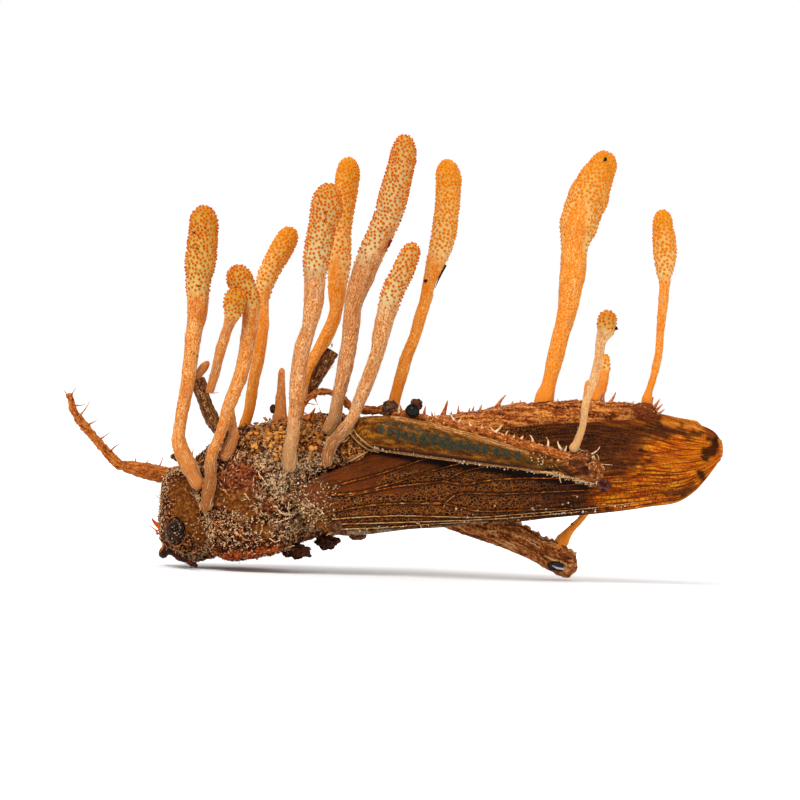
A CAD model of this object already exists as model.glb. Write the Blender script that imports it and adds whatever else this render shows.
"""Looks of a dead grasshopper on its back, overgrown by cordyceps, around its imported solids.

Shapes are worked out in millimetres and drawn as the solids are: x to the right, z upwards
and a depth away from the viewer, which `placed` turns into a point of the object.
"""

import math

import bmesh
import bpy
import numpy as np
from mathutils import Matrix, Vector, noise


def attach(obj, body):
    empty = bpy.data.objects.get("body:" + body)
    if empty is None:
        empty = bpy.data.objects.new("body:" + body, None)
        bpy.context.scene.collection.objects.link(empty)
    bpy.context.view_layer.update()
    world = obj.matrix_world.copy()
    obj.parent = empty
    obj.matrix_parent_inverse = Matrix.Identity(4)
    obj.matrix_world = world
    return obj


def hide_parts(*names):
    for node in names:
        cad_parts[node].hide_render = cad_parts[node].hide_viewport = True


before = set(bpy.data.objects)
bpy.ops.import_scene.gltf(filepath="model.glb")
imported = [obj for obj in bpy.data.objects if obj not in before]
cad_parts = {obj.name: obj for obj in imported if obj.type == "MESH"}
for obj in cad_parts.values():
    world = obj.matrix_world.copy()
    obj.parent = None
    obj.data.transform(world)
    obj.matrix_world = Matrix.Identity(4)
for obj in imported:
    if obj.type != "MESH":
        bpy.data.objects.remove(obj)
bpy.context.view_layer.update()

DRAW = np.random.default_rng(24)  # every random draw comes from here, in the script's order

MM = 0.001  # metres in a millimetre
FLOOR_GAP = 0.02  # the lowest that a piece reaches above the floor, in millimetres
SHEEN = 0.06  # specular level of dry, dull skins
LIT = 1.2  # how bright a white surface is under the lights
PIXEL = 0.09  # millimetres that a pixel of the photograph spans on the middle plane
PICTURE_SIDE = 800  # pixels
VIEW_DISTANCE = 300.0
REST_TURN = math.radians(2.4)
CENTRE = np.array((0.67, -0.15, 15.62))
TAIL_SWING, TAIL_LENGTH, TAIL_START = 1.3, 31.0, -2.55
SPLINE_PARTS = 16  # from one given row of a spline to the next
STRAND_SIDES, VEIN_SIDES, THORN_SIDES, THORN_RINGS = 3, 6, 7, 6

# ---- The insect's sections, much as in the solids: (x, top, bottom, half width) ----
HEAD = (
    (-21.65, -10.6, -11.9, 0.5), (-21.45, -9.7, -12.8, 1.5), (-21.15, -8.3, -13.3, 2.8),
    (-20.75, -7.2, -13.75, 3.5), (-20.15, -6.3, -14.25, 4.1), (-19.1, -6.05, -14.5, 4.35),
    (-17.95, -6.1, -14.2, 4.5), (-17.0, -6.3, -13.8, 4.4),
)
BODY = (
    (-17.7, -5.75, -13.95, 4.65), (-16.9, -4.6, -14.1, 5.1), (-16.0, -3.8, -14.45, 5.35),
    (-15.1, -3.2, -14.45, 5.5), (-14.2, -2.8, -14.3, 5.6), (-13.3, -2.5, -14.15, 5.6),
    (-12.2, -2.35, -13.95, 5.6), (-11.1, -2.15, -13.65, 5.6), (-10.1, -1.9, -13.5, 5.5),
    (-8.6, -1.45, -12.9, 5.25), (-7.2, -1.35, -12.4, 5.1), (-5.6, -1.35, -11.9, 4.9),
    (-4.0, -1.55, -11.2, 4.5), (-2.4, -1.85, -10.6, 4.0),
)
ABDOMEN = (
    (-2.7, -1.8, -10.4, 3.8), (0.0, -1.6, -9.9, 3.6), (3.6, -1.4, -9.4, 3.4), (6.8, -1.0, -9.0, 3.2),
    (9.6, -0.45, -8.5, 2.95), (12.2, -0.2, -7.8, 2.65), (14.6, -0.1, -7.1, 2.35),
    (17.0, 0.0, -6.3, 2.0), (19.2, -0.2, -5.4, 1.6), (21.2, -0.3, -4.2, 1.25),
    (22.4, -0.3, -3.2, 0.9), (23.3, -1.5, -2.4, 0.35),
)

# Half outlines of a section, (across, up) from the top to the bottom
ROUND = ((0, 1), (0.5, 0.87), (0.87, 0.5), (1, 0), (0.87, -0.5), (0.5, -0.87), (0, -1))
SADDLE = ((0, 1), (0.45, 0.93), (0.84, 0.62), (1, 0.1), (0.99, -0.5), (0.9, -0.93), (0, -1))
HULL = ((0, 1), (0.5, 0.92), (0.88, 0.6), (1, 0.15), (0.84, -0.42), (0.42, -0.82), (0, -1))
KEELED = ((0, 1), (0.6, 0.72), (1, 0.2), (0.97, -0.15), (0.86, -0.55), (0.4, -0.82), (0, -1))

# ---- Hind thighs: (x, top, bottom, half width, depth) ----
NEAR_FEMUR = (
    (-4.15, -2.6, -3.4, 0.2, -5.85), (-3.6, -1.65, -4.2, 0.9, -6.0), (-2.8, -1.45, -4.4, 1.25, -6.15),
    (-0.55, -1.45, -4.75, 1.35, -6.2), (1.55, -1.85, -5.05, 1.35, -6.15), (3.85, -2.3, -5.35, 1.3, -6.0),
    (7.2, -3.2, -5.8, 1.2, -5.75), (10.0, -4.1, -6.1, 1.0, -5.5), (12.2, -4.8, -6.5, 0.8, -5.3),
    (14.0, -5.25, -6.85, 0.7, -5.1), (15.3, -4.95, -7.2, 0.85, -5.0), (16.5, -4.7, -7.45, 0.95, -4.9),
    (17.5, -5.05, -7.75, 0.85, -4.8), (18.15, -5.9, -7.1, 0.3, -4.75),
)
FAR_FEMUR = (
    (-4.4, -5.6, -6.5, 0.3, 6.35), (-3.4, -4.7, -7.75, 1.1, 6.45), (-1.8, -5.05, -9.0, 1.3, 6.5),
    (0.45, -5.95, -10.1, 1.3, 6.5), (3.15, -7.4, -11.1, 1.25, 6.3), (6.3, -9.2, -12.25, 1.15, 6.0),
    (9.0, -10.6, -13.15, 1.05, 5.6), (10.8, -11.2, -13.95, 1.0, 5.4), (12.15, -11.95, -14.6, 0.95, 5.25),
    (13.3, -12.5, -15.3, 1.0, 5.15), (14.4, -12.8, -15.8, 1.1, 5.05), (15.1, -13.2, -16.2, 1.0, 5.0),
    (15.85, -13.8, -15.3, 0.5, 5.0),
)

# ---- A folded forewing's upper and lower edge: (x, z, depth) ----
WING_UPPER = (
    (-9.9, -7.8, 5.85), (-8.55, -7.4, 5.8), (-7.0, -6.75, 5.65), (-5.4, -6.1, 5.4), (-3.6, -5.3, 5.0),
    (-1.8, -4.5, 4.6), (0.5, -3.6, 4.35), (3.2, -3.05, 4.1), (6.3, -2.7, 3.8), (9.9, -2.45, 3.45),
    (13.5, -2.15, 3.0), (17.1, -2.0, 2.55), (20.3, -1.8, 2.1), (23.0, -1.75, 1.8), (25.2, -2.15, 1.5),
    (27.0, -2.5, 1.25), (28.2, -3.05, 1.1), (28.85, -3.8, 1.0),
)
WING_LOWER = (
    (-9.75, -8.75, 5.8), (-8.3, -10.8, 5.2), (-6.75, -11.8, 4.1), (-4.95, -12.2, 2.9), (-3.15, -12.1, 1.8),
    (-1.35, -11.9, 1.1), (1.25, -11.6, 0.7), (4.25, -11.4, 0.5), (7.2, -11.1, 0.5), (10.4, -10.95, 0.5),
    (13.5, -10.6, 0.5), (16.85, -10.3, 0.5), (19.8, -10.0, 0.5), (22.5, -9.6, 0.5), (24.85, -9.25, 0.5),
    (26.45, -8.3, 0.55), (27.55, -7.1, 0.6), (28.55, -5.65, 0.7),
)
FAR_WING_LIFT = 0.25

# ---- The stromata, as in the solids ----
# name: (depths at foot, middle and tip; length of the fertile head; look;
#        (x, z, radius) from the foot up to the tip)
STROMATA = {
    "stroma_01": ((-5.1, -4.6, -2.6), 8.4, "orange", (
        (-18.2, -7.45, 0.3), (-18.45, -7.0, 0.55), (-19.0, -5.95, 0.75), (-19.5, -4.95, 0.75),
        (-19.9, -3.85, 0.65), (-19.9, -2.9, 0.55), (-19.55, -0.8, 0.55), (-19.1, 1.6, 0.6),
        (-18.65, 5.4, 0.7), (-18.25, 7.85, 0.9), (-18.15, 10.8, 1.05), (-17.95, 12.4, 1.3),
        (-17.65, 15.55, 1.25), (-17.7, 17.45, 0))),
    "stroma_02": ((-4.2, -5.2, -6.1), 2.6, "orange", (
        (-16.85, 1.75, 0.35), (-16.6, 2.6, 0.4), (-16.1, 4.6, 0.45), (-15.5, 6.5, 0.45),
        (-15.2, 7.4, 0.6), (-14.95, 8.3, 0.85), (-14.8, 9.2, 0.9), (-14.75, 10.0, 0))),
    "stroma_03": ((-5.8, -5.0, -3.7), 4.2, "orange", (
        (-17.45, -9.55, 0.35), (-17.3, -8.55, 0.55), (-17.05, -7.0, 0.55), (-16.95, -4.95, 0.45),
        (-16.1, -2.9, 0.45), (-15.5, -0.8, 0.55), (-14.55, 1.6, 0.6), (-14.0, 3.6, 0.65),
        (-13.65, 5.6, 0.7), (-13.45, 7.45, 0.7), (-13.5, 8.75, 0.85), (-14.1, 10.05, 1.1),
        (-14.45, 10.95, 1.1), (-14.9, 12.0, 0))),
    "stroma_04": ((1.6, 3.6, 6.0), 7.4, "glowing", (
        (-14.0, -2.3, 0.45), (-13.55, -0.8, 0.5), (-13.2, 1.6, 0.5), (-12.75, 3.6, 0.55),
        (-12.35, 6.5, 0.55), (-12.3, 8.35, 0.5), (-12.35, 9.45, 0.7), (-11.9, 11.25, 0.9),
        (-10.7, 13.5, 1.0), (-10.25, 14.3, 0.95), (-9.7, 15.5, 0))),
    "stroma_05": ((-4.85, -4.1, -3.2), 0, "orange", (
        (-15.75, -5.05, 0.4), (-15.4, -4.4, 0.55), (-14.95, -3.15, 0.42), (-15.05, -2.25, 0.36),
        (-15.15, -1.1, 0.3), (-15.3, -0.2, 0))),
    "stroma_06": ((-0.6, -0.3, 0.2), 0, "orange", (
        (-10.8, -1.6, 0.64), (-10.75, -0.25, 0.5), (-10.7, 1.25, 0.34), (-10.65, 2.45, 0.3),
        (-10.6, 2.9, 0))),
    "stroma_07": ((-5.9, -5.9, -4.4), 8.6, "pale", (
        (-9.95, -5.95, 0.45), (-9.9, -5.45, 0.65), (-9.9, -4.4, 0.6), (-9.6, -2.9, 0.55),
        (-9.45, -0.8, 0.55), (-9.25, 0.7, 0.7), (-9.1, 2.6, 0.7), (-8.8, 4.6, 0.7),
        (-8.2, 6.5, 0.65), (-7.8, 8.45, 0.8), (-7.7, 10.1, 0.9), (-7.55, 12.6, 1.05),
        (-7.1, 15.1, 1.15), (-6.6, 17.3, 1.3), (-6.45, 19.45, 0))),
    "stroma_08": ((0.0, 1.6, 4.2), 12.0, "glowing", (
        (-9.15, -1.0, 0.5), (-8.55, 2.0, 0.5), (-7.85, 3.6, 0.5), (-6.85, 5.3, 0.6), (-6.05, 7.0, 0.6),
        (-5.75, 8.2, 0.6), (-5.65, 10.1, 0.85), (-5.45, 12.6, 1.0), (-5.4, 15.1, 1.0),
        (-5.1, 17.65, 1.05), (-4.7, 20.15, 1.05), (-4.6, 21.8, 0))),
    "stroma_09": ((-4.4, -3.4, -1.0), 13.0, "pale", (
        (-6.4, -2.6, 0.55), (-5.9, -1.6, 0.6), (-5.6, 0.1, 0.55), (-5.05, 2.45, 0.65),
        (-4.65, 4.7, 0.7), (-4.35, 7.0, 0.75), (-4.15, 8.8, 0.8), (-3.3, 11.35, 1.05),
        (-2.25, 13.85, 1.1), (-1.15, 16.4, 1.15), (-0.45, 18.9, 1.2), (0.25, 21.6, 1.1), (0.5, 23.85, 0))),
    "stroma_10": ((-6.1, -6.7, -6.2), 6.4, "pale", (
        (-6.6, -5.6, 0.4), (-6.5, -4.95, 0.5), (-6.1, -3.95, 0.5), (-5.15, -2.8, 0.55),
        (-4.3, -1.6, 0.5), (-3.6, 0.1, 0.55), (-2.65, 2.45, 0.6), (-2.05, 4.25, 0.6),
        (-1.75, 5.75, 0.75), (-1.45, 6.95, 0.8), (-1.1, 8.2, 0.9), (-0.7, 9.65, 0.9),
        (0.2, 11.45, 0.9), (0.85, 12.95, 0.8), (1.3, 14.05, 0))),
    "stroma_11": ((1.4, 3.4, 5.6), 9.6, "glowing", (
        (-0.65, -0.6, 0.5), (0.1, 2.15, 0.55), (0.6, 3.9, 0.55), (1.3, 5.65, 0.5), (1.8, 7.4, 0.55),
        (2.3, 9.0, 0.55), (2.6, 10.45, 0.6), (3.15, 12.15, 0.85), (3.8, 14.3, 1.05),
        (4.2, 16.9, 1.05), (4.4, 19.8, 1.1), (4.15, 21.6, 0))),
    "stroma_12": ((0.9, 2.6, 4.6), 10.5, "glowing", (
        (13.05, 0.3, 0.75), (13.5, 1.85, 0.65), (14.0, 3.9, 0.75), (14.5, 5.95, 0.75),
        (15.15, 8.55, 0.9), (15.55, 11.45, 1.15), (15.7, 13.75, 1.2), (16.0, 15.4, 1.65),
        (16.45, 17.0, 1.7), (17.0, 18.35, 1.8), (17.55, 19.7, 1.6), (18.2, 20.9, 1.25), (18.7, 22.3, 0))),
    "stroma_13": ((-5.0, -5.4, -6.1), 1.9, "cream", (
        (15.7, -4.22, 0.38), (15.95, -3.8, 0.33), (16.45, -2.3, 0.3), (16.75, -0.2, 0.35),
        (17.45, 1.85, 0.4), (17.9, 3.9, 0.4), (18.1, 5.3, 0.45), (18.5, 6.25, 0.75),
        (18.65, 7.2, 0.8), (18.65, 8.05, 0))),
    "stroma_14": ((1.0, 1.5, 2.0), 1.6, "glowing", (
        (17.8, 0.32, 0.4), (18.1, 1.1, 0.5), (18.35, 2.8, 0.55), (18.5, 4.15, 0))),
    "stroma_15": ((1.5, 2.2, 3.4), 6.6, "glowing", (
        (22.25, 0.1, 0.45), (22.35, 0.6, 0.35), (22.7, 1.7, 0.3), (23.05, 3.05, 0.35), (23.3, 4.4, 0.35),
        (23.45, 6.4, 0.35), (23.65, 8.35, 0.45), (23.8, 10.35, 0.45), (23.8, 11.45, 0.7),
        (23.85, 12.85, 0.95), (23.8, 14.2, 1.0), (23.65, 15.55, 0.9), (23.65, 17.1, 0))),
    "stroma_16": ((5.0, 5.2, 5.4), 1.6, "glowing", (
        (14.7, -12.5, 0.56), (15.1, -11.95, 0.4), (15.85, -11.15, 0.3), (16.5, -10.45, 0.3),
        (17.2, -9.25, 0.4), (17.65, -8.3, 0.4), (17.8, -7.55, 0))),
    "stroma_bud_front": ((-3.4, -3.5, -3.6), 0, "orange", (
        (-18.1, 2.35, 0.35), (-17.8, 2.75, 0.4), (-17.2, 3.5, 0))),
    "stroma_bud_hind": ((0.8, 1.0, 1.2), 0, "glowing", (
        (16.75, 0.35, 0.25), (16.85, 1.0, 0.3), (16.9, 1.8, 0))),
}


# ==== Points and curves ====
def placed(x, z, depth=0.0, aside=0.0):
    """The object's points for drawn ones at a depth, moved aside from there."""
    x, z, depth, aside = np.broadcast_arrays(*(np.asarray(v, float) for v in (x, z, depth, aside)))
    spread = 1 + depth / VIEW_DISTANCE
    across = spread * (x * math.cos(REST_TURN) - z * math.sin(REST_TURN))
    up = spread * (x * math.sin(REST_TURN) + z * math.cos(REST_TURN))
    return CENTRE + np.stack((across, depth + aside, up), axis=-1)


def swing(x):
    """How far the tail has swung back at x."""
    return TAIL_SWING * np.maximum(0, (np.asarray(x) - TAIL_START) / TAIL_LENGTH)


def unit(vectors):
    return vectors / np.maximum(np.linalg.norm(vectors, axis=-1, keepdims=True), 1e-9)


def spline(rows, closed=False):
    """A dense smooth line through rows of numbers."""
    rows = np.array(rows, float)
    if closed:
        ends = np.vstack((rows[-1:], rows, rows[:2]))
    else:
        ends = np.vstack((2 * rows[0] - rows[1], rows, 2 * rows[-1] - rows[-2]))
    t = np.linspace(0, 1, SPLINE_PARTS, endpoint=False)[:, None]
    dense = [
        0.5 * (2 * b + (c - a) * t + (2 * a - 5 * b + 4 * c - d) * t**2 + (3 * b - a - 3 * c + d) * t**3)
        for a, b, c, d in zip(ends, ends[1:], ends[2:], ends[3:])]
    return np.vstack(dense + [ends[-2:-1]])


def distances(line):
    """How far along a line each of its points lies."""
    return np.concatenate(([0], np.cumsum(np.linalg.norm(np.diff(line, axis=0), axis=1))))


def evenly(dense, step=None, count=None, measured=2):
    """Rows at equal distances along a dense line, measured in its first columns."""
    gone = distances(dense[:, :measured])
    count = count or max(2, int(round(gone[-1] / step)) + 1)
    at = np.linspace(0, gone[-1], count)
    return np.stack([np.interp(at, gone, column) for column in dense.T], axis=1)


def around(half, columns):
    """A half outline with its mirror image, as one smooth loop of `columns` points."""
    loop = list(half) + [(-across, up) for across, up in half[-2:0:-1]]
    return evenly(spline(loop, closed=True), count=columns + 1)[:-1]


def seen(pairs):
    """The drawn x and z of places given in the photograph's pixels."""
    return (np.array(pairs, float) - PICTURE_SIDE / 2) * PIXEL * (1, -1)


def feet_and_tips(rows):
    """The pixels of some thorns' feet and of their tips."""
    return np.hsplit(np.array(rows, float), 2)


def pictured(pairs, depth):
    """The object's points that the photograph shows at pixels, at a depth."""
    return placed(*seen(pairs).T, depth)


def on_photo(points):
    """The drawn x and z at which the photograph shows points of the object."""
    shift = points - CENTRE
    spread = 1 + shift[..., 1] / VIEW_DISTANCE
    across, up = shift[..., 0] / spread, shift[..., 2] / spread
    turned = (across * math.cos(REST_TURN) + up * math.sin(REST_TURN),
              up * math.cos(REST_TURN) - across * math.sin(REST_TURN))
    return np.stack(turned, axis=-1)


def lumps(points, size, seed=0.0):
    """Smooth noise between -1 and 1 whose lumps are `size` across."""
    shifted = (np.reshape(points, (-1, 3)) / size + seed * 7.31).tolist()
    found = np.fromiter((noise.noise(point) for point in shifted), float, len(shifted))
    return found.reshape(np.shape(points)[:-1])


def rough(points, size, octaves=3, seed=0.0):
    """Noise with finer and finer lumps in it."""
    total = sum(lumps(points, size / 2**k, seed + k) / 2**k for k in range(octaves))
    return total / (2 - 2 / 2**octaves)


def ramp(values, low, high):
    """0 below `low`, 1 above `high` and a smooth rise between them."""
    share = np.clip((np.asarray(values, float) - low) / (high - low), 0, 1)
    return share * share * (3 - 2 * share)


# ==== Meshes ====
# A mesh is its points, its faces and the values of its points, which finishes read by name.
def above_floor(points):
    """Points that are raised to the lowest level allowed where they lie below it."""
    return np.maximum(points, (-np.inf, -np.inf, FLOOR_GAP))


def grid_faces(rows, columns):
    """Quads between the rings of a tube, numbered ring by ring."""
    row, column = np.meshgrid(np.arange(rows - 1), np.arange(columns), indexing="ij")
    after = (column + 1) % columns
    corners = (row * columns + column, row * columns + after, (row + 1) * columns + after,
               (row + 1) * columns + column)
    return np.stack(corners, axis=-1).reshape(-1, 4)


def tube_faces(rings, sides, reverse=False):
    """Faces of a closed tube, with a cap at each end. Rings run anticlockwise about the way along
    the tube unless they are in reverse."""
    faces = grid_faces(rings, sides).tolist()
    faces.append(list(range(sides))[::-1])
    faces.append(list(range((rings - 1) * sides, rings * sides)))
    return [face[::-1] for face in faces] if reverse else faces


def repeated(number, count, *patterns):
    """Faces of many meshes with `count` points each, all built to the same patterns."""
    starts = np.arange(number)[:, None, None] * count
    faces = [(np.array(pattern) + starts).reshape(-1, len(pattern[0])).tolist() for pattern in patterns]
    return sum(faces, [])


def tube(rings, reverse=False, **values):
    """A closed tube through rings of points."""
    return rings.reshape(-1, 3), tube_faces(*rings.shape[:2], reverse), values


def joined(*meshes):
    """Meshes as one, with the number of the mesh that each face is from. A value that a mesh lacks
    is 0 there, and one given as a plain number is the same all over."""
    points = np.vstack([mesh[0] for mesh in meshes])
    faces, numbers, fields, start = [], [], {}, 0
    for number, (part_points, part_faces, values) in enumerate(meshes):
        count = len(part_points)
        faces += [[corner + start for corner in face] for face in part_faces]
        numbers += [number] * len(part_faces)
        for key, value in values.items():
            width = 3 if np.size(value) == 3 * count else 1
            field = fields.setdefault(key, np.zeros((len(points), width)))
            field[start:start + count] = np.reshape(value, (-1, width))
        start += count
    return points, faces, fields, numbers


def add_piece(name, meshes, finishes, replaced=(), parts=None):
    """Makes meshes, in millimetres, a piece of the object. The first mesh has the first finish and
    so on, and the last finish serves the rest, unless `parts` numbers the finish of each face."""
    points, faces, fields, numbers = joined(*meshes)
    mesh = bpy.data.meshes.new(name)
    mesh.from_pydata((above_floor(points) * MM).tolist(), [], faces)
    for finish in finishes:
        mesh.materials.append(finish)
    parts = np.minimum(numbers, len(finishes) - 1) if parts is None else parts
    mesh.polygons.foreach_set("material_index", np.asarray(parts, np.int32))
    for key, field in fields.items():
        kind, part = ("FLOAT_VECTOR", "vector") if field.shape[1] == 3 else ("FLOAT", "value")
        made = mesh.attributes.new(key, kind, "POINT")
        made.data.foreach_set(part, field.astype(np.float32).ravel())
    mesh.shade_smooth()
    mesh.update()
    piece = bpy.data.objects.new(name, mesh)
    bpy.context.scene.collection.objects.link(piece)
    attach(piece, "root")
    if replaced:
        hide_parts(*replaced)
    return piece


def wheel(sideways, other, sides):
    """Directions all around an axis, from two that are square to it, with their angles."""
    turn = np.arange(sides) * 2 * math.pi / sides
    outward = np.cos(turn)[:, None] * sideways[..., None, :] + np.sin(turn)[:, None] * other[..., None, :]
    return outward, turn


def rings_along(centres, radii, sides):
    """Rings of points square to a path, with the direction and the angle of each point."""
    along = unit(np.gradient(centres, axis=0))
    side = unit(np.cross(along[0], (0, 1, 0)))
    sideways = []
    for direction in along:
        side = unit(side - direction * side.dot(direction))
        sideways.append(side)
    outward, turn = wheel(np.array(sideways), np.cross(along, sideways), sides)
    return centres[:, None] + outward * np.asarray(radii)[..., None, None], outward, turn


def pipe(centres, radii, sides, **values):
    """A closed tube about a path."""
    return tube(rings_along(centres, radii, sides)[0], **values)


def strands(paths, radii):
    """The points and faces of thin closed hairs along paths, an array of (number, points, 3)."""
    number, count, _ = paths.shape
    along = unit(np.gradient(paths, axis=1))
    sideways = unit(np.cross(along, unit(DRAW.normal(size=(number, 1, 3)))))
    outward, _ = wheel(sideways, np.cross(along, sideways), STRAND_SIDES)
    points = paths[:, :, None] + outward * np.broadcast_to(radii, (number, count))[..., None, None]
    *walls, root, tip = tube_faces(count, STRAND_SIDES)
    return points.reshape(-1, 3), repeated(number, count * STRAND_SIDES, walls, (root, tip))


def scattered(points, faces, number, weight=None):
    """Random places on a mesh of quads or triangles: (places, normals, a corner of each one's face)."""
    faces = np.array([face[:3] for face in faces] + [[face[0], face[2], face[3]] for face in faces
                                                     if len(face) == 4])
    corners = points[faces]
    crossed = np.cross(corners[:, 1] - corners[:, 0], corners[:, 2] - corners[:, 0])
    share = np.linalg.norm(crossed, axis=1)
    if weight is not None:
        share = share * weight[faces].mean(axis=1)
    chosen = DRAW.choice(len(faces), number, p=share / share.sum())
    a, b = np.sqrt(DRAW.random(number)), DRAW.random(number)
    mix = np.stack((1 - a, a * (1 - b), a * b), axis=1)
    places = (corners[chosen] * mix[..., None]).sum(axis=1)
    return places, unit(crossed[chosen]), faces[chosen, 0]


def spaced(places, least):
    """Which places to keep, so that each is further than its own `least` from those kept before."""
    kept = []
    for number, place in enumerate(places):
        if not kept or np.min(((places[kept] - place) ** 2).sum(axis=1)) > least[number] ** 2:
            kept.append(number)
    return np.array(kept)


def thorns(starts, tips, roots, bend=0.08):
    """Slightly bent thorns from their starts to their tips, finer towards the tip."""
    share = np.linspace(0, 1, THORN_RINGS)[:, None]
    found = []
    for start, tip, root in zip(starts, tips, roots):
        aside = bend * np.linalg.norm(tip - start) * unit(DRAW.normal(size=3))
        path = start + (tip - start) * share + aside * np.sin(math.pi * share)
        found.append(pipe(path, root * (1 - 0.85 * share[:, 0]**0.8), THORN_SIDES))
    points, faces, _, _ = joined(*found)
    return points, faces, {"skin_place": points}


def pebbles(places, sizes, flatness=0.6):
    """Points and faces of small rough grains at places, each turned and squashed its own way, with
    how many points one has."""
    bm = bmesh.new()
    bmesh.ops.create_icosphere(bm, subdivisions=1, radius=1)
    ball = np.array([vert.co for vert in bm.verts])
    pattern = [[vert.index for vert in face.verts] for face in bm.faces]
    bm.free()
    number = len(places)
    dents = 1 + 0.28 * DRAW.normal(size=(number, len(ball), 1)).clip(-1.5, 1.5)
    flats = [DRAW.uniform(flatness, 1, number) for _ in range(2)]
    squash = np.stack((np.ones(number), *flats), axis=-1)
    turns = np.linalg.qr(DRAW.normal(size=(number, 3, 3)))[0]
    turns *= np.sign(np.linalg.det(turns))[:, None, None]
    local = ball[None] * dents * squash[:, None] * np.reshape(sizes, (-1, 1, 1))
    points = np.einsum("nij,nkj->nki", turns, local) + np.asarray(places)[:, None]
    return points.reshape(-1, 3), repeated(number, len(ball), pattern), len(ball)


# ==== Shader nodes ====
def shown(tint):
    """A colour as shaders take it, for the three bytes that a screen shows; others pass."""
    if not isinstance(tint, tuple) or len(tint) != 3:
        return tint
    shares = [byte / 255 for byte in tint]
    linear = (s / 12.92 if s <= 0.04045 else ((s + 0.055) / 1.055)**2.4 for s in shares)
    return (*(s / LIT for s in linear), 1)


class Nodes:
    """Short ways to add nodes to one tree. `add` gives the node, and the others its output. An input
    is a plain value or another node's output, and a colour may be the bytes that a screen shows."""

    def __init__(self, tree):
        self.tree = tree

    def add(self, kind, inputs=None, **settings):
        made = self.tree.nodes.new(kind)
        for name, value in settings.items():
            setattr(made, name, value)
        for key, value in (inputs or {}).items():
            if isinstance(value, bpy.types.NodeSocket):
                self.tree.links.new(value, made.inputs[key])
            else:
                made.inputs[key].default_value = value
        return made

    def place(self):
        """Where a point is on the object, in metres."""
        return self.add("ShaderNodeTexCoord").outputs["Object"]

    def read(self, name, output="Fac"):
        return self.add("ShaderNodeAttribute", attribute_name=name).outputs[output]

    def noise(self, place, scale, detail=3.0, roughness=0.55):
        inputs = {"Vector": place, "Scale": scale, "Detail": detail, "Roughness": roughness}
        return self.add("ShaderNodeTexNoise", inputs).outputs["Fac"]

    def cells(self, place, scale, feature="F1"):
        inputs = {"Vector": place, "Scale": scale}
        return self.add("ShaderNodeTexVoronoi", inputs, feature=feature).outputs["Distance"]

    def remap(self, value, low, high, to_low=0.0, to_high=1.0):
        inputs = {"Value": value, "From Min": low, "From Max": high, "To Min": to_low, "To Max": to_high}
        return self.add("ShaderNodeMapRange", inputs).outputs["Result"]

    def spread(self, value, low, high):
        """A noise's usual range, drawn out to run from `low` to `high`."""
        return self.remap(value, 0.3, 0.7, low, high)

    def maths(self, operation, a, b):
        return self.add("ShaderNodeMath", {0: a, 1: b}, operation=operation).outputs[0]

    def plus(self, a, b):
        return self.maths("ADD", a, b)

    def times(self, a, b):
        return self.maths("MULTIPLY", a, b)

    def vectors(self, operation, a, b):
        return self.add("ShaderNodeVectorMath", {0: a, 1: b}, operation=operation).outputs[0]

    def mix(self, share, a, b):
        made = self.add("ShaderNodeMix", {0: share, 6: shown(a), 7: shown(b)}, data_type="RGBA")
        return made.outputs[2]

    def ramp(self, value, low, high, dark, light):
        """One colour where a value is low, and another where it is high."""
        return self.mix(self.remap(value, low, high), dark, light)

    def over(self, base, name, tint, share=None):
        """A colour under another one, which lies where the point's value `name` puts it."""
        cover = self.read(name)
        return self.mix(cover if share is None else self.times(cover, share), base, tint)

    def group(self, tree, output, **inputs):
        return self.add("ShaderNodeGroup", inputs, node_tree=tree).outputs[output]

    def tones(self, value, low, middle, high):
        colours = {"Low": shown(low), "Middle": shown(middle), "High": shown(high)}
        return self.group(THREE_TONES, "Color", Value=value, **colours)

    def streaks(self, place, scale, stretch):
        return self.group(STREAKS, "Value", Place=place, Scale=scale, Stretch=stretch)

    def dry_skin(self, scale, stretch, share, grain_scale, grain_share):
        """Where a point is on its skin, the skin's fine grain, and streaks with that grain."""
        place = self.read("skin_place", "Vector")
        grain = self.noise(place, grain_scale, 4.0, 0.7)
        streaks = self.times(self.streaks(place, scale, stretch), share)
        return place, grain, self.plus(streaks, self.spread(grain, 0.0, grain_share))

    def dots(self, place, scale, size):
        return self.group(SPECKLE, "Value", Place=place, Scale=scale, Size=size)


def new_group(name, inputs, output, kind):
    """A shader node group with named sockets, its nodes, its inputs and its output."""
    tree = bpy.data.node_groups.new(name, "ShaderNodeTree")
    for socket, socket_kind in inputs.items():
        tree.interface.new_socket(socket, in_out="INPUT", socket_type="NodeSocket" + socket_kind)
    tree.interface.new_socket(output, in_out="OUTPUT", socket_type="NodeSocket" + kind)
    nodes = Nodes(tree)
    given = nodes.add("NodeGroupInput").outputs
    return tree, nodes, given, nodes.add("NodeGroupOutput").inputs[output]


def three_tones_group():
    """Blends a low, a middle and a high colour by a value between 0 and 1."""
    inputs = {"Value": "Float", "Low": "Color", "Middle": "Color", "High": "Color"}
    tree, nodes, given, out = new_group("three tones", inputs, "Color", "Color")
    lower = nodes.ramp(given["Value"], 0.25, 0.5, given["Low"], given["Middle"])
    tree.links.new(nodes.ramp(given["Value"], 0.5, 0.78, lower, given["High"]), out)
    return tree


def streaks_group():
    """Noise drawn out along the third coordinate, as on a stalk or a leg."""
    inputs = {"Place": "Vector", "Scale": "Float", "Stretch": "Float"}
    tree, nodes, given, out = new_group("streaks", inputs, "Value", "Float")
    shrunk = nodes.maths("DIVIDE", 1.0, given["Stretch"])
    factors = nodes.add("ShaderNodeCombineXYZ", {"X": 1.0, "Y": 1.0, "Z": shrunk}).outputs[0]
    drawn_out = nodes.vectors("MULTIPLY", given["Place"], factors)
    tree.links.new(nodes.remap(nodes.noise(drawn_out, given["Scale"], 4.0, 0.65), 0.28, 0.72), out)
    return tree


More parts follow.
